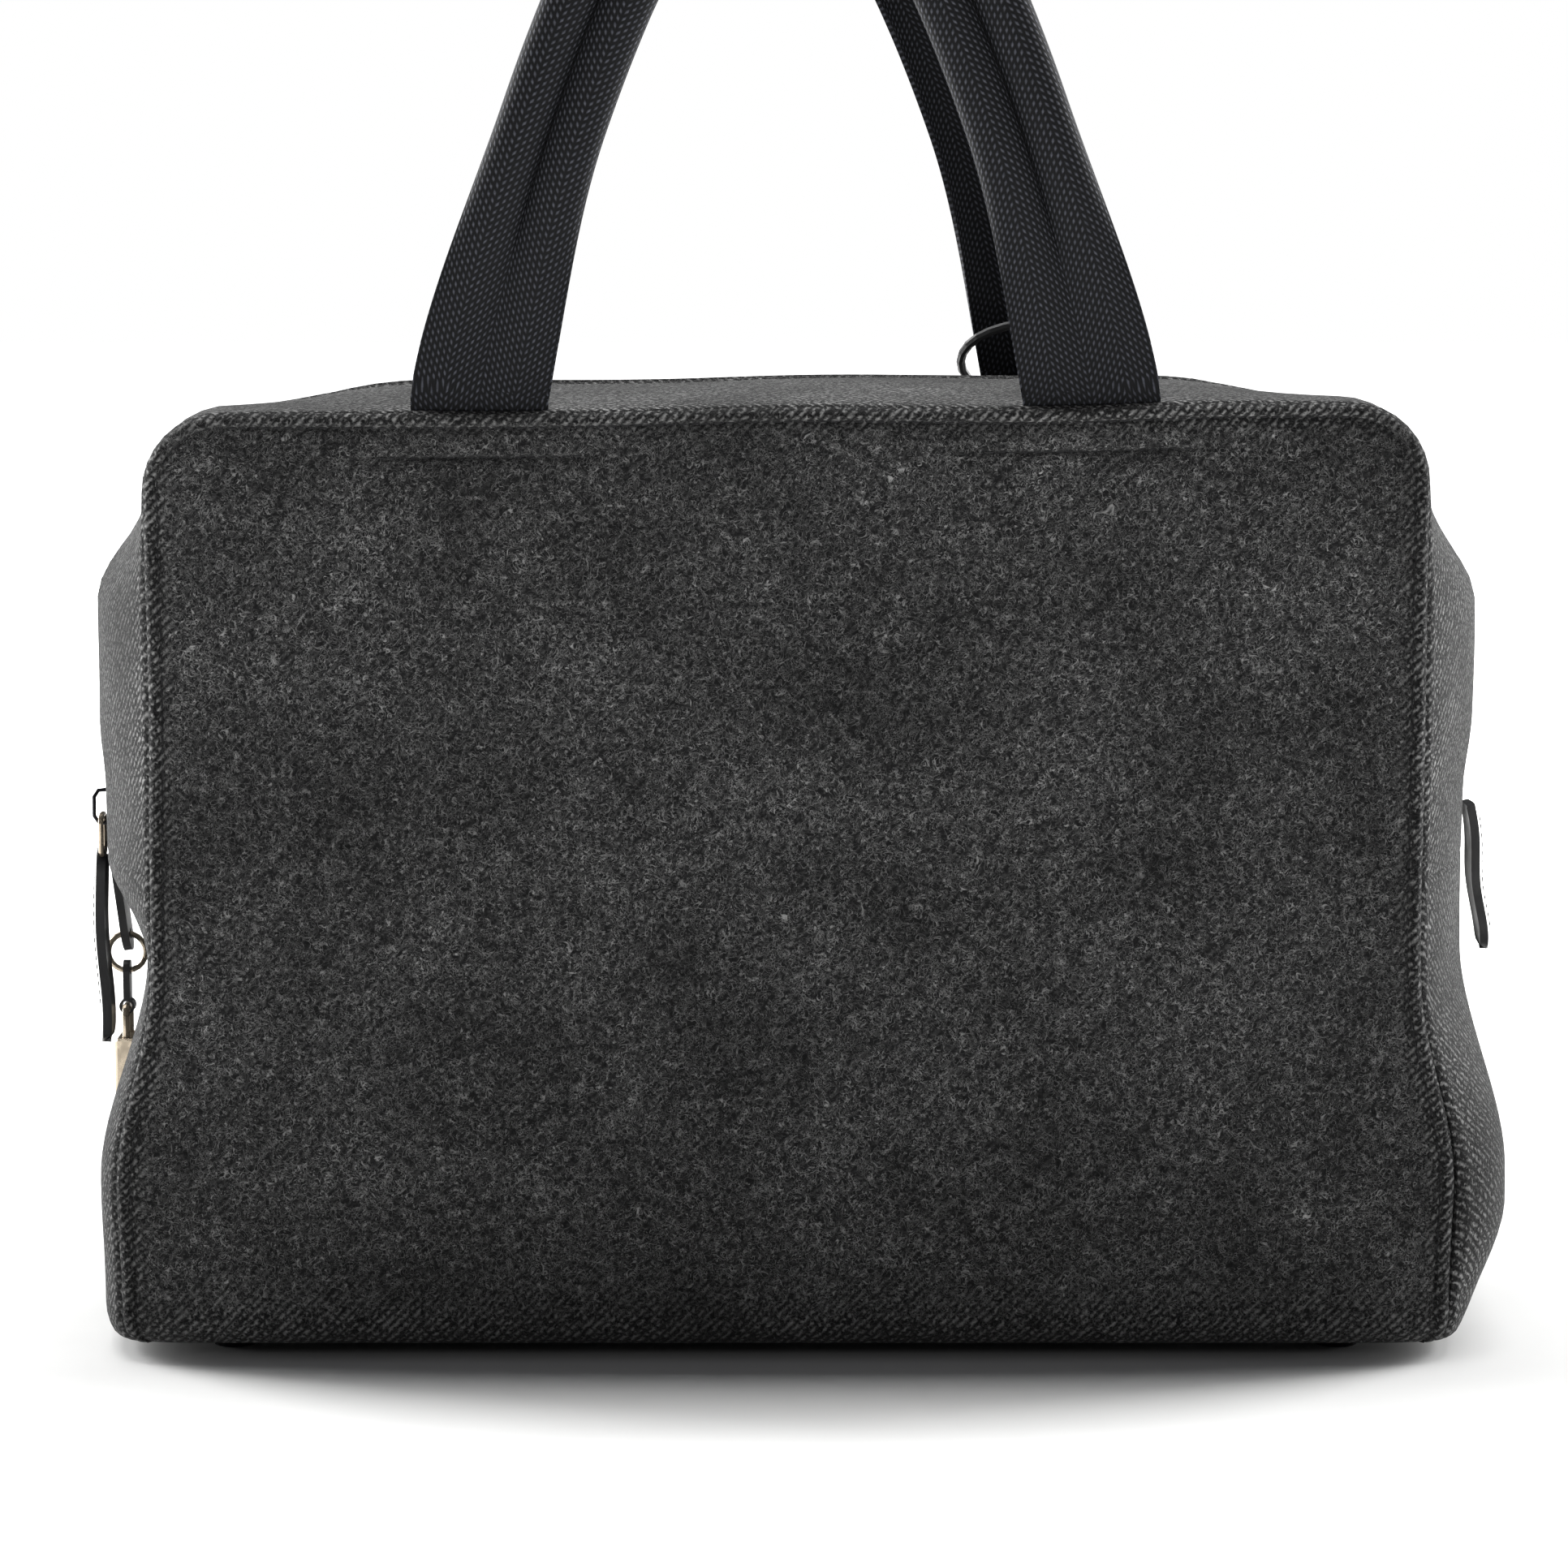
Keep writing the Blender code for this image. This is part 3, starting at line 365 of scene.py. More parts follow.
# %% Leather, metal, rubber
def calf_leather(name, colour, pale):
    """Box calf: small soft pebbles about 0.9 mm across, with a broken sheen."""
    made, tree, shader = new_material(name, Specular_IOR_Level=0.5, Coat_Weight=0.12, Coat_Roughness=0.35)
    place = node(tree, "TexCoord").node.outputs["Object"]
    pebble = node(tree, "TexVoronoi", {"Vector": place, "Scale": 1 / (0.9 * MM), "Randomness": 1.0})
    cloud = node(tree, "TexNoise", {"Vector": place, "Scale": 1 / (6 * MM), "Detail": 3.0})
    colour_out = mix_colour(tree, cloud, linear(colour), linear(pale))
    tree.links.new(colour_out, shader.inputs["Base Color"])
    rough = node(tree, "MapRange", {"Value": cloud, "From Min": 0.3, "From Max": 0.7,
                                    "To Min": 0.38, "To Max": 0.55})
    tree.links.new(rough, shader.inputs["Roughness"])
    bump(tree, shader, pebble, 0.35, 0.12 * MM)
    return made


def plated(name, colour, low_rough, high_rough):
    """Plated metal with faint wear that changes its gloss."""
    made, tree, shader = new_material(name, Metallic=1.0, Base_Color=linear(colour))
    place = node(tree, "TexCoord").node.outputs["Object"]
    wear = node(tree, "TexNoise", {"Vector": place, "Scale": 1 / (2.5 * MM), "Detail": 4.0})
    rough = node(tree, "MapRange", {"Value": wear, "From Min": 0.35, "From Max": 0.65,
                                    "To Min": low_rough, "To Max": high_rough})
    tree.links.new(rough, shader.inputs["Roughness"])
    bump(tree, shader, wear, 0.15, 0.05 * MM)
    return made


def speckled(name, dark, pale, grain, rough):
    """Moulded or pressed stuff with a fine grain."""
    made, tree, shader = new_material(name, Roughness=rough, Specular_IOR_Level=0.4)
    place = node(tree, "TexCoord").node.outputs["Object"]
    speck = node(tree, "TexNoise", {"Vector": place, "Scale": 1 / grain, "Detail": 3.0})
    tree.links.new(mix_colour(tree, speck, linear(dark), linear(pale)), shader.inputs["Base Color"])
    bump(tree, shader, speck, 0.3, 0.1 * MM)
    return made


leather = calf_leather("black box calf", "121213", "242426")
nickel = plated("warm nickel plate", "b9ac99", 0.22, 0.38)
black_metal = plated("black lacquered metal", "2c2c2f", 0.30, 0.50)
rubber = speckled("moulded rubber", "101011", "1e1e20", 0.6 * MM, 0.6)
board = speckled("pressed fibre board", "4a4338", "6c6354", 1.2 * MM, 0.9)
print("made", leather.name, nickel.name, black_metal.name, rubber.name, board.name)

# %% [markdown]
# ## The two wool panels
# Each big side is one cut of felted wool. It is sewn to the strip round it with the seam turned in,
# then topstitched 4 mm from the edge, which leaves a soft ridge along the edge and a groove inside it.
# At the bottom it has no seam in sight: it rolls under. A flat plate with a texture would lose the
# ridge, so the grid is closest together where the ridge turns, and its corners are bent to arcs.

# %% Panel shape
def seam_width(z):
    """Half the width of the sewn panels. They widen quickly below 110 mm, where the base fills out."""
    return HALF_TOP + 8.8 * MM * smoothstep((110 * MM - z) / (60 * MM))


RIDGE = ((0, 1.5), (0.4, 0.6), (0.9, -0.1), (1.5, -0.6), (2.2, -0.75), (2.8, -0.55), (3.2, -0.1), (3.6, 0.7),
         (3.9, 0.95), (4.3, 0.7), (5, 0), (6.5, -0.5), (8.5, -0.8), (11, -1.05),
         (11.6, -1.1), (12.1, -1.15), (12.6, -1.15), (13.2, -1.2), (16, -1.4), (19, -1.5), (22, -1.5))
INSETS = [row[0] * MM for row in RIDGE[:-1]]


def ridge_depth(inset):
    """How far in the cloth lies at a distance from the seam, from the table above."""
    return float(np.interp(inset / MM, [row[0] for row in RIDGE], [row[1] for row in RIDGE])) * MM


def bulge(inset):
    return 1 - math.exp(-max(0.0, inset - CORNER) / 0.040)


STRAP_ENDS = {}
for word, side in SIDES:
    ends = [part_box(word + "_handle_anchor_" + hand) for hand in ("left", "right")]
    STRAP_ENDS[side] = [(low.x + high.x) / 2 for low, high in ends]


def panel_point(column, row, side):
    """Column: (edge, inset) or (0, share). Row: an inset from the top, a height, or a roll angle."""
    edge, amount = column
    kind, value = row
    from_top = value if kind == "inset" else 1.0
    roll = value if kind == "roll" else 0.0
    z = TOP - value if kind == "inset" else value if kind == "height" else BASE + ROLL
    half = seam_width(max(z, BASE))
    from_side = amount if edge else half - abs(amount) * (half - CORNER)
    seam = min(from_side, from_top)
    if edge and from_side < CORNER and from_top < CORNER:
        p, q = CORNER - from_side, CORNER - from_top
        far = max(p, q)
        angle = math.pi / 4 * (q / p) if p >= q else math.pi / 2 - math.pi / 4 * (p / q)
        from_side, from_top = CORNER - far * math.cos(angle), CORNER - far * math.sin(angle)
        z = TOP - from_top
    x = (edge or (1 if amount >= 0 else -1)) * (half - from_side)
    low = smoothstep((z - BASE) / (45 * MM))
    inward = ridge_depth(seam) - 2.4 * MM * bulge(from_side) * bulge(TOP - z) * low
    near_strap = min(abs(x - centre) for centre in STRAP_ENDS[side])
    crease = 1.5 * MM * math.exp(-((TOP - z - 12.1 * MM) / (0.7 * MM)) ** 2)
    inward += crease * (1 - smoothstep((near_strap - 24 * MM) / (8 * MM)))
    if kind == "roll":
        x -= math.copysign(ROLL * 0.55 * (1 - math.cos(roll)), x) * smoothstep(1 - from_side / (30 * MM))
        inward += ROLL * (1 - math.cos(roll))
        z = BASE + ROLL * (1 - math.sin(roll))
    return settle((x, side * (HALF_DEPTH - inward), z))


def panel_uv(column, row, side):
    point = panel_point(column, row, side)
    return (point.x * side, point.z)


panel_columns = ([(-1, inset) for inset in INSETS] + [(0, s * 0.97) for s in np.linspace(-1, 1, 37)] +
                 [(1, inset) for inset in reversed(INSETS)])
heights = np.linspace(TOP - CORNER, BASE + ROLL + 3 * MM, 40)
panel_rows = ([("inset", inset) for inset in INSETS] + [("height", float(z)) for z in heights] +
              [("roll", math.radians(a)) for a in (0, 18, 36, 54, 72, 90)])


def edge_rub(obj, near, far, low_end=True):
    """Writes how strongly the twill shows: most on the ridge at the edges, least on the face."""
    layer = obj.data.attributes.new("rub", "FLOAT", "POINT")
    for item, vertex in zip(layer.data, obj.data.vertices):
        point = vertex.co
        z = min(point.z, TOP)
        inset = min(seam_width(z) - abs(point.x), TOP - z + 1 * MM)
        share = 1 - smoothstep((inset - near) / (far - near))
        bottom = 1 - smoothstep((point.z - 8 * MM) / (20 * MM))
        item.value = 0.12 + 0.80 * max(share, 0.8 * bottom)


panels = {}
for word, side in SIDES:
    panel = grid_piece(word + "_wool_panel", panel_columns, panel_rows,
                       lambda c, r: panel_point(c, r, side), lambda p: Vector((0, side, 0)), CLOTH,
                       uv=lambda c, r: panel_uv(c, r, side))
    edge_rub(panel, 3.2 * MM, 9 * MM)
    finish(panel, wool, (word + "_panel_upper", word + "_panel_lower"))
    bend_with_mouth(panel)
    panels[word] = panel
print("panels:", len(panels["front"].data.polygons), "faces each")

# %% [markdown]
# ## The wool strip round the sides and top
# The strip between the panels bellies out at the sides, where the bag is full, and is nearly flat on
# top. One function gives the outline's point, its outward direction and the belly at each step, and
# every layer (wool, lining, zip tape, teeth) is laid at its own depth under that same surface.

# %% The strip's outline
def fullness(z):
    """The extra roundness of the sides at half height, where the bag is fullest."""
    return 1.8 * MM * smoothstep((z - 155 * MM) / (20 * MM)) * smoothstep((232 * MM - z) / (25 * MM))


def belly(z, word_side):
    """How far the strip stands out at its middle, at a height on one side."""
    share = smoothstep((z - 110 * MM) / (25 * MM)) if word_side < 0 else smoothstep(z / (40 * MM))
    full = 20 * MM * smoothstep((254 * MM - z) / (45 * MM))
    return min(full, (7 + 13 * share) * MM) + fullness(z)


def outline():
    """Steps up the left side, over the top and down the right: place, outward direction, belly."""
    steps = []
    for z in np.linspace(MOUTH, TOP - CORNER, 22)[:-1]:
        steps.append(((-seam_width(z), z), (-1, 0), belly(z, -1)))
    for k in range(9):
        a = math.pi / 2 * k / 8
        c = (-(HALF_TOP - CORNER), TOP - CORNER)
        steps.append(((c[0] - CORNER * math.cos(a), c[1] + CORNER * math.sin(a)), (-math.cos(a), math.sin(a)),
                      belly(TOP - CORNER, -1) * (1 - k / 8)))
    for x in np.linspace(-(HALF_TOP - CORNER), HALF_TOP - CORNER, 44)[1:-1]:
        steps.append(((x, TOP), (0, 1), 4.4 * MM * smoothstep((160 * MM - abs(x)) / (60 * MM))))
    mirrored = [((-p[0], p[1]), (-n[0], n[1]), belly(p[1], 1) if p[1] < TOP - CORNER else 0.0)
                for p, n, _ in reversed(steps[:30])]
    return steps + mirrored


path = outline()
path_lengths = [0.0]
for (a, _, _), (b, _, _) in zip(path, path[1:]):
    path_lengths.append(path_lengths[-1] + math.hypot(b[0] - a[0], b[1] - a[1]))


def strip_point(step, y, depth):
    """The point of a layer: at an outline step, a distance across and a depth under the surface."""
    (x, z), (nx, nz), crown = path[step]
    power = 2.0
    out = crown * (1 - min(1.0, abs(y) / HALF_DEPTH) ** power) - depth
    return settle((x + nx * out, y, z + nz * out))


SEAM_LIFTS = ((0, -0.9), (0.5, -0.25), (1.2, 0.1), (2.2, 0.25), (3.2, 0.1), (4, -0.15), (6, 0), (90, 0))


def zip_depth(step):
    """The zip runs straight where the cloth beside it is fullest, so that its slider runs clear."""
    (_, z), (_, nz), _ = path[step]
    return fullness(z) if abs(nz) < 0.3 else 0.0


def strip_depth(y):
    """The strip dips at its seam with the panel, and its folded edge at the zip is rounded over."""
    from_seam = (HALF_DEPTH - 1.5 * MM - abs(y)) / MM
    from_zip = (abs(y) - ZIP_EDGE) / MM
    lift = float(np.interp(from_seam, [r[0] for r in SEAM_LIFTS], [r[1] for r in SEAM_LIFTS]))
    fold = float(np.interp(from_zip, (0, 0.4, 1.0, 1.8, 2.3, 2.6, 3.0, 4.0), (-1.0, 0.2, 0.6, 0.6, 0.1, 0.0, 0.15, 0.1)))
    return -(lift + fold) * MM


across_steps = [ZIP_EDGE + d * MM for d in (0, 0.4, 1.0, 1.8, 2.3, 2.6, 3.0, 4.0, 6)]
across_steps += [float(y) for y in np.linspace(ZIP_EDGE + 11 * MM, HALF_DEPTH - 9 * MM, 12)]
across_steps += [HALF_DEPTH - 1.5 * MM - d * MM for d in (6, 4, 3.2, 2.2, 1.2, 0.5, 0)]


def strip_outward(point):
    return Vector((point.x / 0.19, 0, max(-0.2, (point.z - 0.200) / 0.07)))


def rub_all(obj, amount):
    layer = obj.data.attributes.new("rub", "FLOAT", "POINT")
    for item, vertex in zip(layer.data, obj.data.vertices):
        item.value = amount + 0.35 * smoothstep((abs(vertex.co.y) - 0.066) / 0.016)


for word, side in SIDES:
    strip = grid_piece(word + "_wool_strip", across_steps, list(range(len(path))),
                       lambda y, k: strip_point(k, side * y, strip_depth(y)), strip_outward, CLOTH,
                       uv=lambda y, k: (side * y, path_lengths[k]))
    rub_all(strip, 0.7)
    finish(strip, wool, (word + "_gusset",))
    bend_with_mouth(strip)
print("outline:", len(path), "steps,", round(path_lengths[-1] / MM), "mm long")

# %% [markdown]
# ## Lower sides and base
# Below the zip's ends a wider cut of wool joins the strips and runs down to the base. It sags into
# soft lobes at the bottom corners. The base is a plain cut stretched over the stiff board. The left
# side is pressed in low down, as a bag that has stood packed.

# %% Lower sides and base
def side_point(y, row, hand):
    """A point of a lower side: y across, and a height or a roll angle under the base."""
    kind, value = row
    z = value if kind == "height" else BASE + ROLL * (1 - math.sin(value))
    inward = 0.0 if kind == "height" else ROLL * 0.55 * (1 - math.cos(value))
    power = 2 + 4 * (1 - smoothstep((z - 30 * MM) / (80 * MM)))
    crown = belly(z, hand)
    crown += (max(crown, 8.5 * MM) - crown) * (1 - smoothstep((z - 45 * MM) / (50 * MM)))
    at_mouth = -0.7 * MM * math.exp(-((MOUTH - z) / (1.2 * MM)) ** 2)
    lift = -strip_depth(max(abs(y), ZIP_EDGE + 10 * MM)) + at_mouth
    out = seam_width(z) + crown * (1 - min(1.0, abs(y) / HALF_DEPTH) ** power) + lift - inward
    pull_in = 0.0
    if kind == "roll":
        pull_in = ROLL * (1 - math.cos(value)) * smoothstep((abs(y) / HALF_DEPTH - 0.8) / 0.2)
    return settle((hand * out, math.copysign(abs(y) - pull_in, y), z))


half_across = [y for y in across_steps if y > 18 * MM]
side_columns = sorted([-y for y in half_across] + half_across +
                      [-13 * MM, -ZIP_EDGE - 1 * MM, -ZIP_EDGE, 0.0, ZIP_EDGE, ZIP_EDGE + 1 * MM, 13 * MM])
side_heights = sorted(set([float(z) for z in np.linspace(BASE + ROLL + 2 * MM, 116 * MM, 26)] +
                          [122 * MM, 126 * MM, ZIP_STOP, 131 * MM, 134 * MM, 136 * MM, 137.2 * MM, MOUTH - 0.1 * MM]))
side_rows = [("roll", math.radians(a)) for a in (90, 72, 54, 36, 18, 0)] + [("height", z) for z in side_heights]
for word, hand in (("left", -1), ("right", 1)):
    cut = grid_piece(word + "_lower_side", side_columns, side_rows,
                     lambda y, r: side_point(y, r, hand), lambda p: Vector((hand, 0, 0)), CLOTH,
                     uv=lambda y, r: (y, side_point(y, r, hand).z),
                     drop=lambda p: abs(p.y) < ZIP_EDGE and p.z > ZIP_STOP)
    rub_all(cut, 0.65)
    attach(finish(cut, wool, ("side_gusset_" + word,)), "bag_base")


def base_point(s, t):
    """The base between the rolled edges, a little slack between the studs."""
    x, y = s * (HALF_BASE - 4 * MM), t * (HALF_DEPTH - ROLL + 0.4 * MM)
    sag = 0.8 * MM * (1 - s ** 6) * (1 - t ** 4)
    return Vector((x, y, BASE + 0.9 * MM - sag * 0.5))


base = grid_piece("wool_base", [float(s) for s in np.linspace(-1, 1, 40)],
                  [float(t) for t in np.linspace(-1, 1, 20)], base_point,
                  lambda p: Vector((0, 0, -1)), 2 * MM, uv=lambda s, t: (s * HALF_BASE, t * HALF_DEPTH))
rub_all(base, 0.5)
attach(finish(base, wool, ("base_panel",)), "bag_base")
print("lower sides and base made")

# %% [markdown]
# ## Lining
# A woven nylon lining hangs inside the wool, as a tub below and as two caps above the mouth.

# %% Lining
LINING_DEPTH = 4.6 * MM


def tub_ring(z, inset):
    """A closed ring of the tub at a height, pulled in towards the middle by inset (0 to 1)."""
    ring = []
    half_y = HALF_DEPTH - LINING_DEPTH
    for t in np.linspace(-1, 1, 22)[:-1]:
        ring.append((t * (seam_width(z) - LINING_DEPTH), -half_y))
    for t in np.linspace(-1, 1, 14)[:-1]:
        y = t * half_y
        crown = belly(z, 1) * (1 - (y / HALF_DEPTH) ** 2)
        ring.append((seam_width(z) - LINING_DEPTH + crown, y))
    for t in np.linspace(1, -1, 22)[:-1]:
        ring.append((t * (seam_width(z) - LINING_DEPTH), half_y))
    for t in np.linspace(1, -1, 14):
        y = t * half_y
        crown = belly(z, -1) * (1 - (y / HALF_DEPTH) ** 2)
        ring.append((-(seam_width(z) - LINING_DEPTH + crown), y))
    ring[-1] = ring[0]
    return [(x * inset, y * inset, z) for x, y in ring]


tub_levels = [(11 * MM, 0.02), (11 * MM, 0.5), (11 * MM, 0.95), (13 * MM, 0.985), (16 * MM, 0.995)]
tub_levels += [(float(z), 1.0) for z in np.linspace(22 * MM, MOUTH - 0.3 * MM, 16)]
tub_rings = [tub_ring(z, inset) for z, inset in tub_levels]


def tub_inward(point):
    return Vector((-point.x, -point.y, 0.03 if point.z < 0.02 else 0))


tub = grid_piece("lining_tub", list(range(len(tub_rings[0]))), list(range(len(tub_rings))),
                 lambda i, j: Vector(tub_rings[j][i]), tub_inward, 0.8 * MM)
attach(finish(tub, lining, ("lower_lining",)), "bag_base")

for word, side in SIDES:
    def cap_point(y, k):
        return strip_point(k, side * y, LINING_DEPTH)
    cap_steps = [float(y) for y in np.linspace(9 * MM, 79.5 * MM, 14)]
    cap = grid_piece(word + "_lining_strip", cap_steps, list(range(len(path))), cap_point,
                     lambda p: -strip_outward(p), 0.8 * MM)
    finish(cap, lining, (word + "_lining_gusset",))
    bend_with_mouth(cap)

    def sheet_point(s, z):
        half = seam_width(z) - 5.2 * MM
        above = z - (TOP - CORNER)
        if above > 0:
            half -= (CORNER - 5.2 * MM) - math.sqrt(max(0.0, (CORNER - 5.2 * MM) ** 2 - above ** 2))
        return settle((s * half, side * (HALF_DEPTH - 5.2 * MM), z))
    wall = grid_piece(word + "_lining_panel", [float(s) for s in np.linspace(-1, 1, 30)],
                      [float(z) for z in np.linspace(MOUTH + 0.3 * MM, TOP - 5.5 * MM, 16)], sheet_point,
                      lambda p: Vector((0, -side, 0)), 0.8 * MM)
    finish(wall, lining, (word + "_lining_panel",))
    bend_with_mouth(wall)
print("lining made")

# %% [markdown]
# ## Zip
# A coil zip: a woven tape each side, and a nylon coil sewn to each, whose turns show as small dark
# beads every 1.5 mm. Repeated beads share one small shape of 20 faces, so it is built straight from
# its points; the primitives would carry far more faces than such a small bead shows.

# %% Beads for teeth and stitches
def beads(name, spots):
    """One mesh of many small capsules. A spot is (centre, half length vector, half width, half height)."""
    points, faces = [], []
    for centre, along, across, up in spots:
        start = len(points)
        for share, size in ((-1, 0.45), (-0.6, 1), (0.6, 1), (1, 0.45)):
            for k in range(6):
                a = k * math.pi / 3
                points.append(centre + along * share + across * (size * math.cos(a)) + up * (size * math.sin(a)))
        turned = along.cross(across).dot(up) < 0
        for ring in range(3):
            for k in range(6):
                a, b = start + ring * 6 + k, start + ring * 6 + (k + 1) % 6
                quad = (a, b, b + 6, a + 6)
                faces.append(quad[::-1] if turned else quad)
        low = tuple(start + k for k in range(6))
        high = tuple(start + 18 + k for k in range(6))
        faces += [low if turned else low[::-1], high[::-1] if turned else high]
    mesh = bpy.data.meshes.new(name)
    mesh.from_pydata([tuple(p) for p in points], [], faces)
    obj = bpy.data.objects.new(name, mesh)
    bpy.context.collection.objects.link(obj)
    shade(obj, 50)
    return obj


def walk(places, pitch):
    """Centres every pitch along a chain of points, each with the direction of travel."""
    spots, left = [], 0.0
    for a, b in zip(places, places[1:]):
        span = (b - a).length
        if span < 1e-6:
            continue
        along = (b - a) / span
        while left < span:
            spots.append((a + along * left, along))
            left += pitch
        left -= span
    return spots


def stitches(name, places, outward, pitch=3.2 * MM, length=1.05 * MM, width=0.28 * MM):
    """A row of lockstitches: each lies in a small dip, with a gap to the next."""
    spots = []
    for centre, along in walk(places, pitch):
        face = outward(centre).normalized()
        across = along.cross(face).normalized()
        spots.append((centre, along * length, across * width, face * width * 0.8))
    return beads(name, spots)


for word, side in SIDES:
    def tape_point(y, k):
        return strip_point(k, side * y, 3.2 * MM + zip_depth(k))
    ribbon = grid_piece(word + "_zip_tape_cloth", [float(y) for y in (2.7 * MM, 5 * MM, 8 * MM, 14 * MM, 20 * MM)],
                        list(range(len(path))), tape_point, strip_outward, 0.6 * MM)
    finish(ribbon, tape, (word + "_zip_tape",))
    bend_with_mouth(ribbon)
    line = [strip_point(k, side * 1.75 * MM, 2.3 * MM + zip_depth(k)) for k in range(len(path))]
    spots = []
    for centre, along in walk(line, 1.5 * MM):
        face = strip_outward(centre).normalized()
        across = along.cross(face).normalized()
        face = across.cross(along).normalized()
        lean = (across * 1.3 * MM + along * 0.25 * MM)
        spots.append((centre, lean, along * 0.55 * MM, face * 0.75 * MM))
    coil = beads(word + "_zip_coil", spots)
    finish(coil, black_metal, (word + "_zip_teeth",))
    bend_with_mouth(coil)
print("zip made")

# %% [markdown]
# ## Handles
# Each handle is one strap of webbing 38 mm wide. Its ends lie flat in the top seam; above them the
# strap is folded along its length and sewn, which makes two round lobes with a groove between. A
# swept tube would lose both the flat ends and the groove, so the strap's cross-section is turned from
# the flat one into the folded one along its length. It bends, like the real strap, just above the seam.

# %% Handles
TAIL = 30 * MM
RISE, REACH = 172 * MM, 84.5 * MM


def handle_line(centre_x, base_z, count=150):
    """The strap's middle line from tail to tail: points, then the length along it."""
    line = [(centre_x - REACH, base_z - 2.6 * MM - TAIL + t * TAIL) for t in np.linspace(0, 1, 9)[:-1]]
    for angle in np.linspace(0, math.pi, count):
        u = -math.cos(angle)
        line.append((centre_x + REACH * u, base_z + RISE * (1 - abs(u) ** 1.8) ** 0.885))
    line += [(2 * centre_x - x, z) for x, z in reversed(line[:8])]
    lengths = [0.0]
    for a, b in zip(line, line[1:]):
        lengths.append(lengths[-1] + math.hypot(b[0] - a[0], b[1] - a[1]))
    return line, lengths


def strap_section(share, fold, side):
    """Across the strap: from -1 to 1. The flat strap is 38 mm wide; folded, it makes two lobes."""
    t, hand = abs(share), (1 if share >= 0 else -1)
    flat = (19 * MM * share, 0.0)
    lobe = (hand * 7.3 * MM * (1 - math.cos(math.pi * t)), 5.2 * MM * math.sin(math.pi * t))
    return (flat[0] + (lobe[0] - flat[0]) * fold, side * (flat[1] + (lobe[1] - flat[1]) * fold))


for word, side in SIDES:
    handle_low, handle_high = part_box(word + "_handle")
    centre_x = (handle_low.x + handle_high.x) / 2
    line, lengths = handle_line(centre_x, handle_low.z)
    middle_y = side * 81.4 * MM

    def strap_point(share, k):
        x, z = line[k]
        x0, z0 = line[max(0, k - 1)]
        x1, z1 = line[min(len(line) - 1, k + 1)]
        run = math.hypot(x1 - x0, z1 - z0)
        tx, tz = (x1 - x0) / run, (z1 - z0) / run
        if z < handle_low.z + 2 * MM:
            tx, tz = 0.0, (1.0 if x < centre_x else -1.0)
        fold = 0.96 * smoothstep((z - handle_low.z - 2 * MM) / 0.075)
        out, deep = strap_section(share, fold, side)
        return Vector((x + tz * out, middle_y + deep, z - tx * out))

    strap = grid_piece(word + "_webbing_handle", [float(s) for s in np.linspace(-1, 1, 29)],
                       list(range(len(line))), strap_point, lambda p: Vector((0, side, 0)), 1.3 * MM,
                       uv=lambda share, k: (share * 19 * MM + 19 * MM, lengths[k]))
    finish(strap, webbing, (word + "_handle", word + "_handle_anchor_left",
                                       word + "_handle_anchor_right"))
    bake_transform(strap)

    # The topstitch lies in the groove round the panel; a second short row holds each strap end.
    groove = []
    inset = 3.9 * MM
    for z in np.linspace(30 * MM, TOP - CORNER, 60):
        groove.append(panel_point((-1, inset), ("height", float(z)), side))
    for k in range(1, 8):
        a = math.pi / 2 * k / 8
        reach = CORNER - inset
        place = (-(HALF_TOP - CORNER) - reach * math.cos(a), TOP - CORNER + reach * math.sin(a))
        groove.append(settle((place[0], side * (HALF_DEPTH - ridge_depth(inset)), place[1])))
    top_run = [panel_point((0, s), ("inset", inset), side) for s in np.linspace(-1, 1, 90)]
    mirror = [Vector((-p.x, p.y, p.z)) for p in reversed(groove)]
    right_side = [panel_point((1, inset), ("height", float(z)), side) for z in np.linspace(TOP - CORNER, 30 * MM, 60)]
    whole = groove + top_run + mirror[:7] + right_side
    lifted = [p + Vector((0, side * 0.15 * MM, 0)) for p in whole]
    row = stitches(word + "_topstitch", lifted, lambda p: Vector((0, side, 0)))
    finish(row, thread_look)
    bend_with_mouth(row)
    for number, hand in enumerate((-1, 1)):
        x0 = centre_x + hand * REACH
        level = TOP - 12 * MM
        spots = [panel_point((0, x / (seam_width(level) - CORNER)), ("inset", 12 * MM), side) for x in
                 np.linspace(x0 - 28 * MM, x0 + 28 * MM, 24)]
        spots = [p + Vector((0, side * 0.2 * MM, 0)) for p in spots]
        short = stitches(word + "_strap_stitches_" + str(number + 1), spots, lambda p: Vector((0, side, 0)))
        finish(short, thread_look)
        bend_with_mouth(short)
print("handles:", round(lengths[-1] / MM), "mm of webbing each")

# %% [markdown]
# ## Leather pieces
# The pull, the strap to the padlock, the two tabs and the key case are calf leather, two layers glued
# and stitched, with soft painted edges. The pull and the zip's end tab are closed pads: a grid over the
# CAD piece's own box, with the real thickness, domed a little, its edges rounded by a bevel.

# %% Leather pads
def pad(name, line, half_of, thick, across_dir, face_of, steps=9):
    """A leather strip along a line of points. half_of(share) is its half width along the way."""
    count = len(line)

    def pad_point(s, k):
        share = k / (count - 1)
        dome = 0.25 * thick * (1 - s * s)
        return line[k] + across_dir * (s * half_of(share)) + face_of(share) * dome
    made = grid_piece(name, [float(s) for s in np.linspace(-1, 1, steps)], list(range(count)), pad_point,
                      lambda p: face_of(0.5), thick)
    apply_modifier(made, "BEVEL", width=thick * 0.3, segments=3, limit_method="ANGLE", angle_limit=math.radians(50))
    shade(made, 50)
    return made


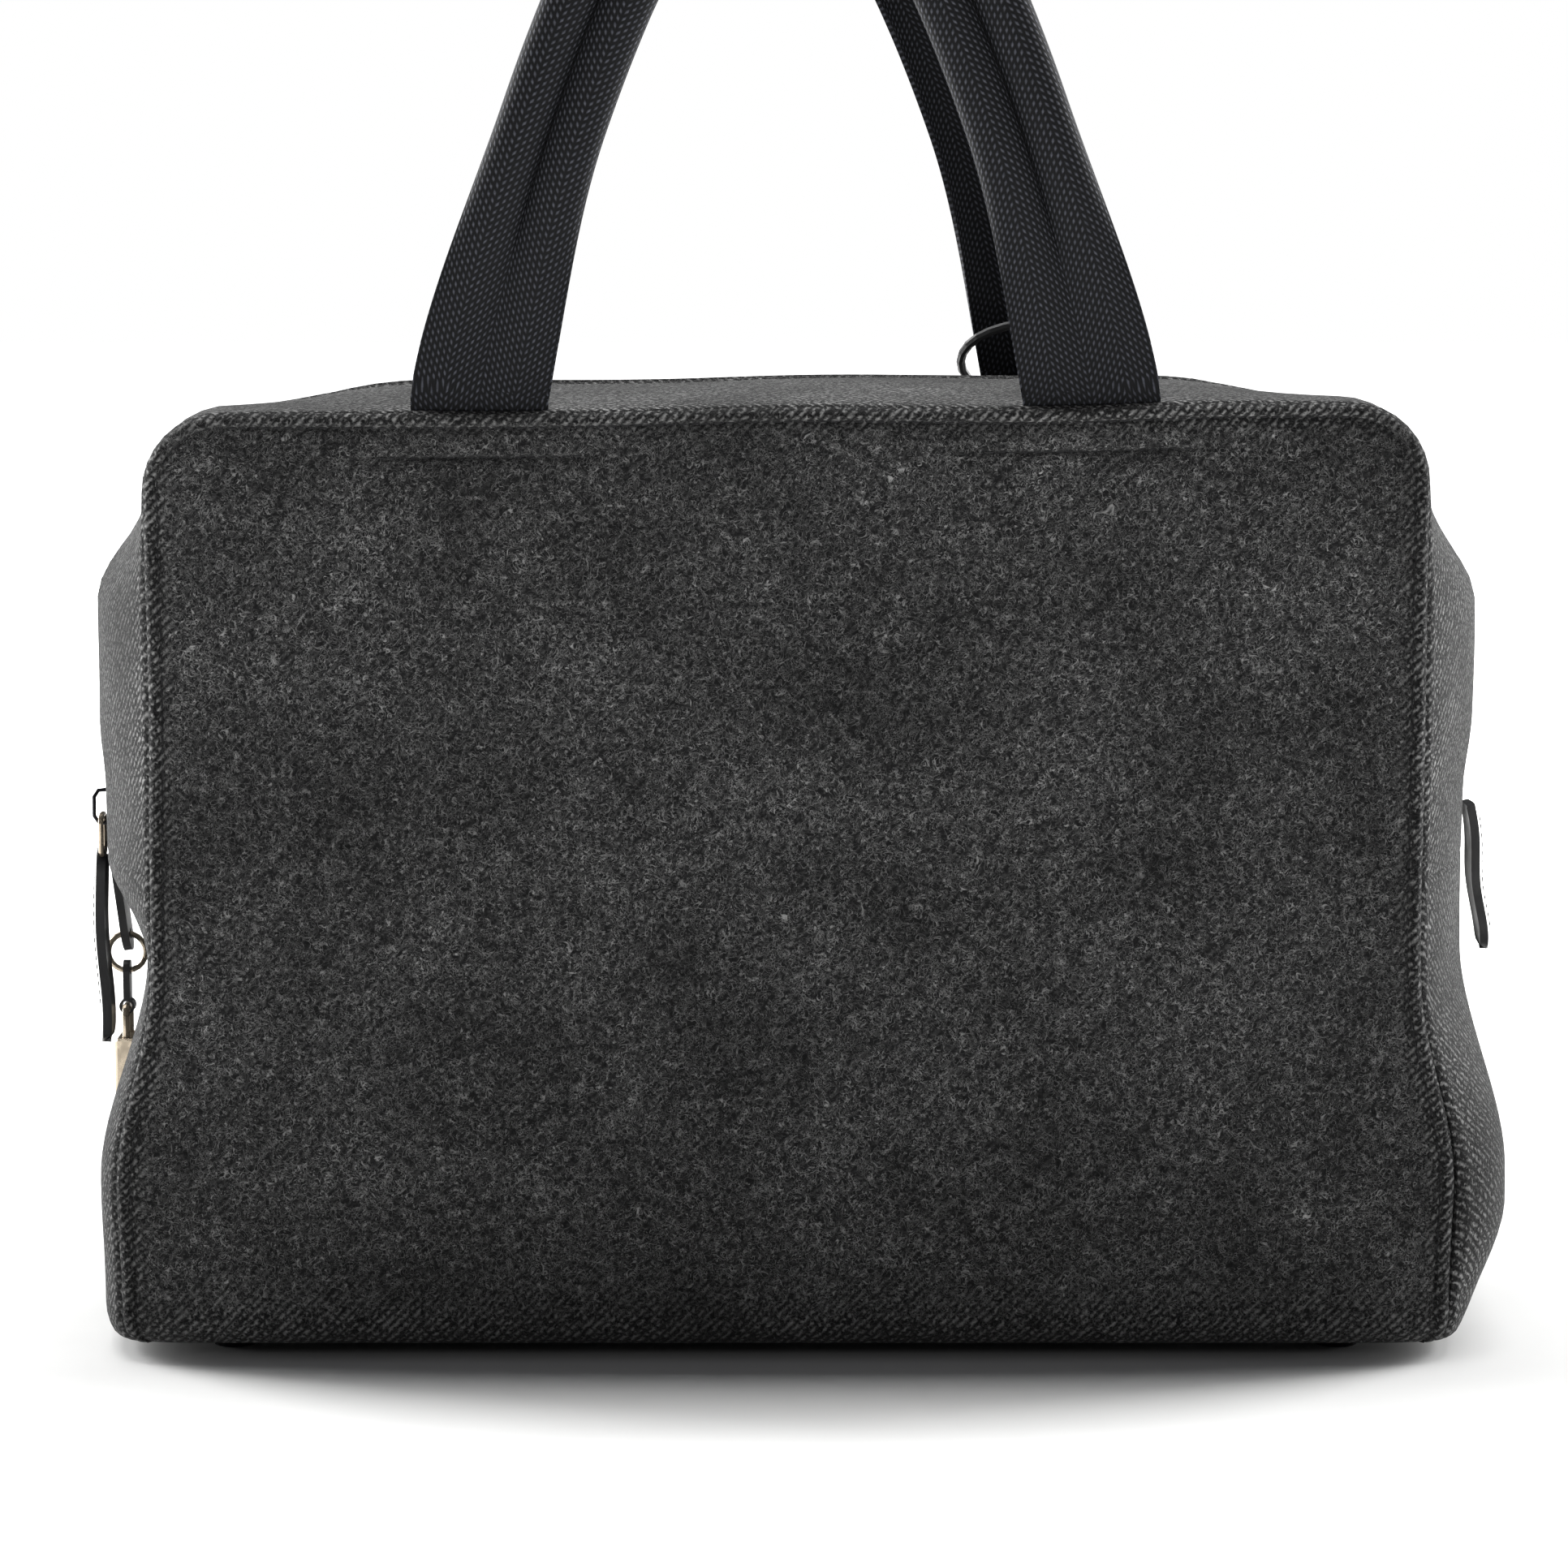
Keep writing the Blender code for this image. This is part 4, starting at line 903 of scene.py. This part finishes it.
def rounded_end(share, half, length, both=False):
    """Half width that closes in a round end at share 1, and at 0 if both."""
    ends = [(1 - share) * length] + ([share * length] if both else [])
    near = min(ends)
    if near >= half:
        return half
    return math.sqrt(max(0.0, half * half - (half - near) ** 2)) * 0.92 + half * 0.08


pull_low, pull_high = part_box("zip_pull")
pull_x = (pull_low.x + pull_high.x) / 2
pull_length = pull_high.z - pull_low.z
pull_line = []
for t in np.linspace(0, 1, 34):
    sway = 1.5 * MM * math.sin(2 * math.pi * t * 0.9) * t
    pull_line.append(Vector((pull_x - 1.3 * MM - sway, 0, pull_high.z - t * pull_length)))
pull = pad("leather_zip_pull", pull_line, lambda t: rounded_end(t, 5.5 * MM, pull_length, True), 2.6 * MM,
           Vector((0, 1, 0)), lambda t: Vector((-1, 0, 0)))
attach(finish(pull, leather, ("zip_pull",)), "zip_pull")

tab_low, tab_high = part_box("zip_end_tab")
tab_line = []
for t in np.linspace(0, 1, 24):
    z = tab_high.z - t * (tab_high.z - tab_low.z)
    tab_line.append(Vector((201.2 * MM + 4.6 * MM * t + 0.5 * MM * math.sin(9 * t), 0, z)))
tab = pad("leather_end_tab", tab_line, lambda t: rounded_end(t, 8.7 * MM - 0.4 * MM * t, 43 * MM) if t > 0.5
          else 8.9 * MM, 2.5 * MM, Vector((0, 1, 0)), lambda t: Vector((1, 0, 0.1)))
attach(finish(tab, leather, ("zip_end_tab",)), "zip_end_tab")

print("leather pieces made")

# %% [markdown]
# ### Stitches on the leather, and the smaller parts
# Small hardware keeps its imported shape: it is turned, cast or punched metal with plain true edges, and
# a fine bevel gives those edges the light they catch. Leather carry-overs get a wider, softer bevel.

# %% Stitches and small parts
tab_stitches = []
for hand in (-1, 1):
    run = [p + Vector((0.85 * MM, hand * 6.9 * MM, 0)) for p in tab_line[2:20]]
    tab_stitches.append(run)
for number, run in enumerate(tab_stitches):
    row = stitches("tab_stitches_" + str(number + 1), run, lambda p: Vector((1, 0, 0)), pitch=2.6 * MM,
                   length=0.85 * MM, width=0.22 * MM)
    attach(finish(row, thread_look), "zip_end_tab")
for number, hand in enumerate((-1, 1)):
    run = [p + Vector((-0.75 * MM, hand * 3.9 * MM, 0)) for p in pull_line[5:28]]
    row = stitches("pull_stitches_" + str(number + 1), run, lambda p: Vector((-1, 0, 0)), pitch=2.6 * MM,
                   length=0.85 * MM, width=0.2 * MM)
    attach(finish(row, thread_look), "zip_pull")

looks = {"lock_tab": leather, "lock_strap": leather, "key_case": leather, "key_strap": leather,
         "padlock_body": nickel, "padlock_shackle": nickel, "padlock_plug": nickel, "padlock_key": nickel,
         "lock_ring": nickel, "pull_link": nickel, "zip_slider": black_metal, "slider_bridge": black_metal,
         "zip_end_chain_left": black_metal, "zip_end_chain_right": black_metal, "base_board": board}
for name in frame["nodes"]:
    obj = bpy.data.objects[name]
    if name.startswith("foot_"):
        look = rubber
    elif name.startswith("zip_end_tape"):
        look = tape
    else:
        look = looks.get(name)
    if look is None:
        continue
    obj.data.materials.clear()
    obj.data.materials.append(look)
    small = min(obj.dimensions)
    width = min(0.45 * MM, small * 0.16) if look is leather else min(0.22 * MM, small * 0.10)
    modifier = obj.modifiers.new("Soft edges", "BEVEL")
    modifier.width, modifier.segments, modifier.limit_method = width, 3, "ANGLE"
    modifier.angle_limit = math.radians(40)
print("small parts finished")

# %% [markdown]
# ## Light and camera
# A pale floor under a broad soft light from above and a little behind, with two softboxes at the
# sides: the floor goes to white, the sides are lit more than the front, and the contact shadow stays
# dark. The camera looks slightly down from the front, 1.5 m away, through a long lens.

# %% Floor, light, camera
deselect()
bpy.ops.mesh.primitive_plane_add(size=16, location=(0, 0, 0))
floor = bpy.context.object
floor.name = "floor"
floor_look, floor_tree, floor_shader = new_material("pale matt floor", Roughness=0.85, Specular_IOR_Level=0.15)
grain = node(floor_tree, "TexNoise", {"Vector": node(floor_tree, "TexCoord").node.outputs["Object"], "Scale": 30.0})
tone = mix_colour(floor_tree, grain, linear("efefee"), linear("f4f4f3"))
floor_tree.links.new(tone, floor_shader.inputs["Base Color"])
# Studio floors are swept up into a lit backdrop. Here the far floor glows a little instead.
spread = node(floor_tree, "VectorMath", {0: node(floor_tree, "TexCoord").node.outputs["Object"]},
              operation="LENGTH").node.outputs["Value"]
glow = node(floor_tree, "MapRange", {"Value": spread, "From Min": 0.30, "From Max": 1.3, "To Max": 1.4},
            interpolation_type="SMOOTHSTEP")
floor_tree.links.new(glow, floor_shader.inputs["Emission Strength"])
floor_shader.inputs["Emission Color"].default_value = (1.0, 1.0, 1.0, 1.0)
floor.data.materials.append(floor_look)


def softbox(name, place, target, size, power):
    bpy.ops.object.light_add(type="AREA", location=place)
    lamp = bpy.context.object
    lamp.name = name
    lamp.data.shape, lamp.data.size, lamp.data.size_y = "RECTANGLE", size[0], size[1]
    lamp.data.energy = power
    lamp.rotation_euler = (Vector(target) - Vector(place)).to_track_quat("-Z", "Y").to_euler()
    return lamp


softbox("overhead", (0, 0.31, 2.2), (0, 0.0, 0.1), (3.0, 0.6), 66)
softbox("left side", (-1.9, 1.1, 0.8), (0, 0, 0.2), (1.0, 1.4), 78)
softbox("right side", (1.9, 1.1, 0.8), (0, 0, 0.2), (1.0, 1.4), 70)
softbox("front", (-0.3, -3.4, 1.7), (0, 0, 0.15), (1.4, 1.0), 4)
world = bpy.data.worlds.new("studio")
bpy.context.scene.world = world
world.use_nodes = True
world_tree = world.node_tree
seen = node(world_tree, "LightPath")
shade_of = mix_colour(world_tree, seen, linear("474749"), (1.0, 1.0, 1.0, 1.0))
background = world_tree.nodes["Background"]
world_tree.links.new(shade_of, background.inputs["Color"])
background.inputs["Strength"].default_value = 1.0
bpy.context.scene.view_settings.view_transform = "Standard"

bpy.ops.object.camera_add(location=(-0.00045, -1.585, 0.3385))
camera = bpy.context.object
camera.data.sensor_width, camera.data.lens = 36, 124.95
aim = Vector((-0.00045, -0.085, 0.1635)) - camera.location
camera.rotation_euler = aim.to_track_quat("-Z", "Y").to_euler()
bpy.context.scene.camera = camera
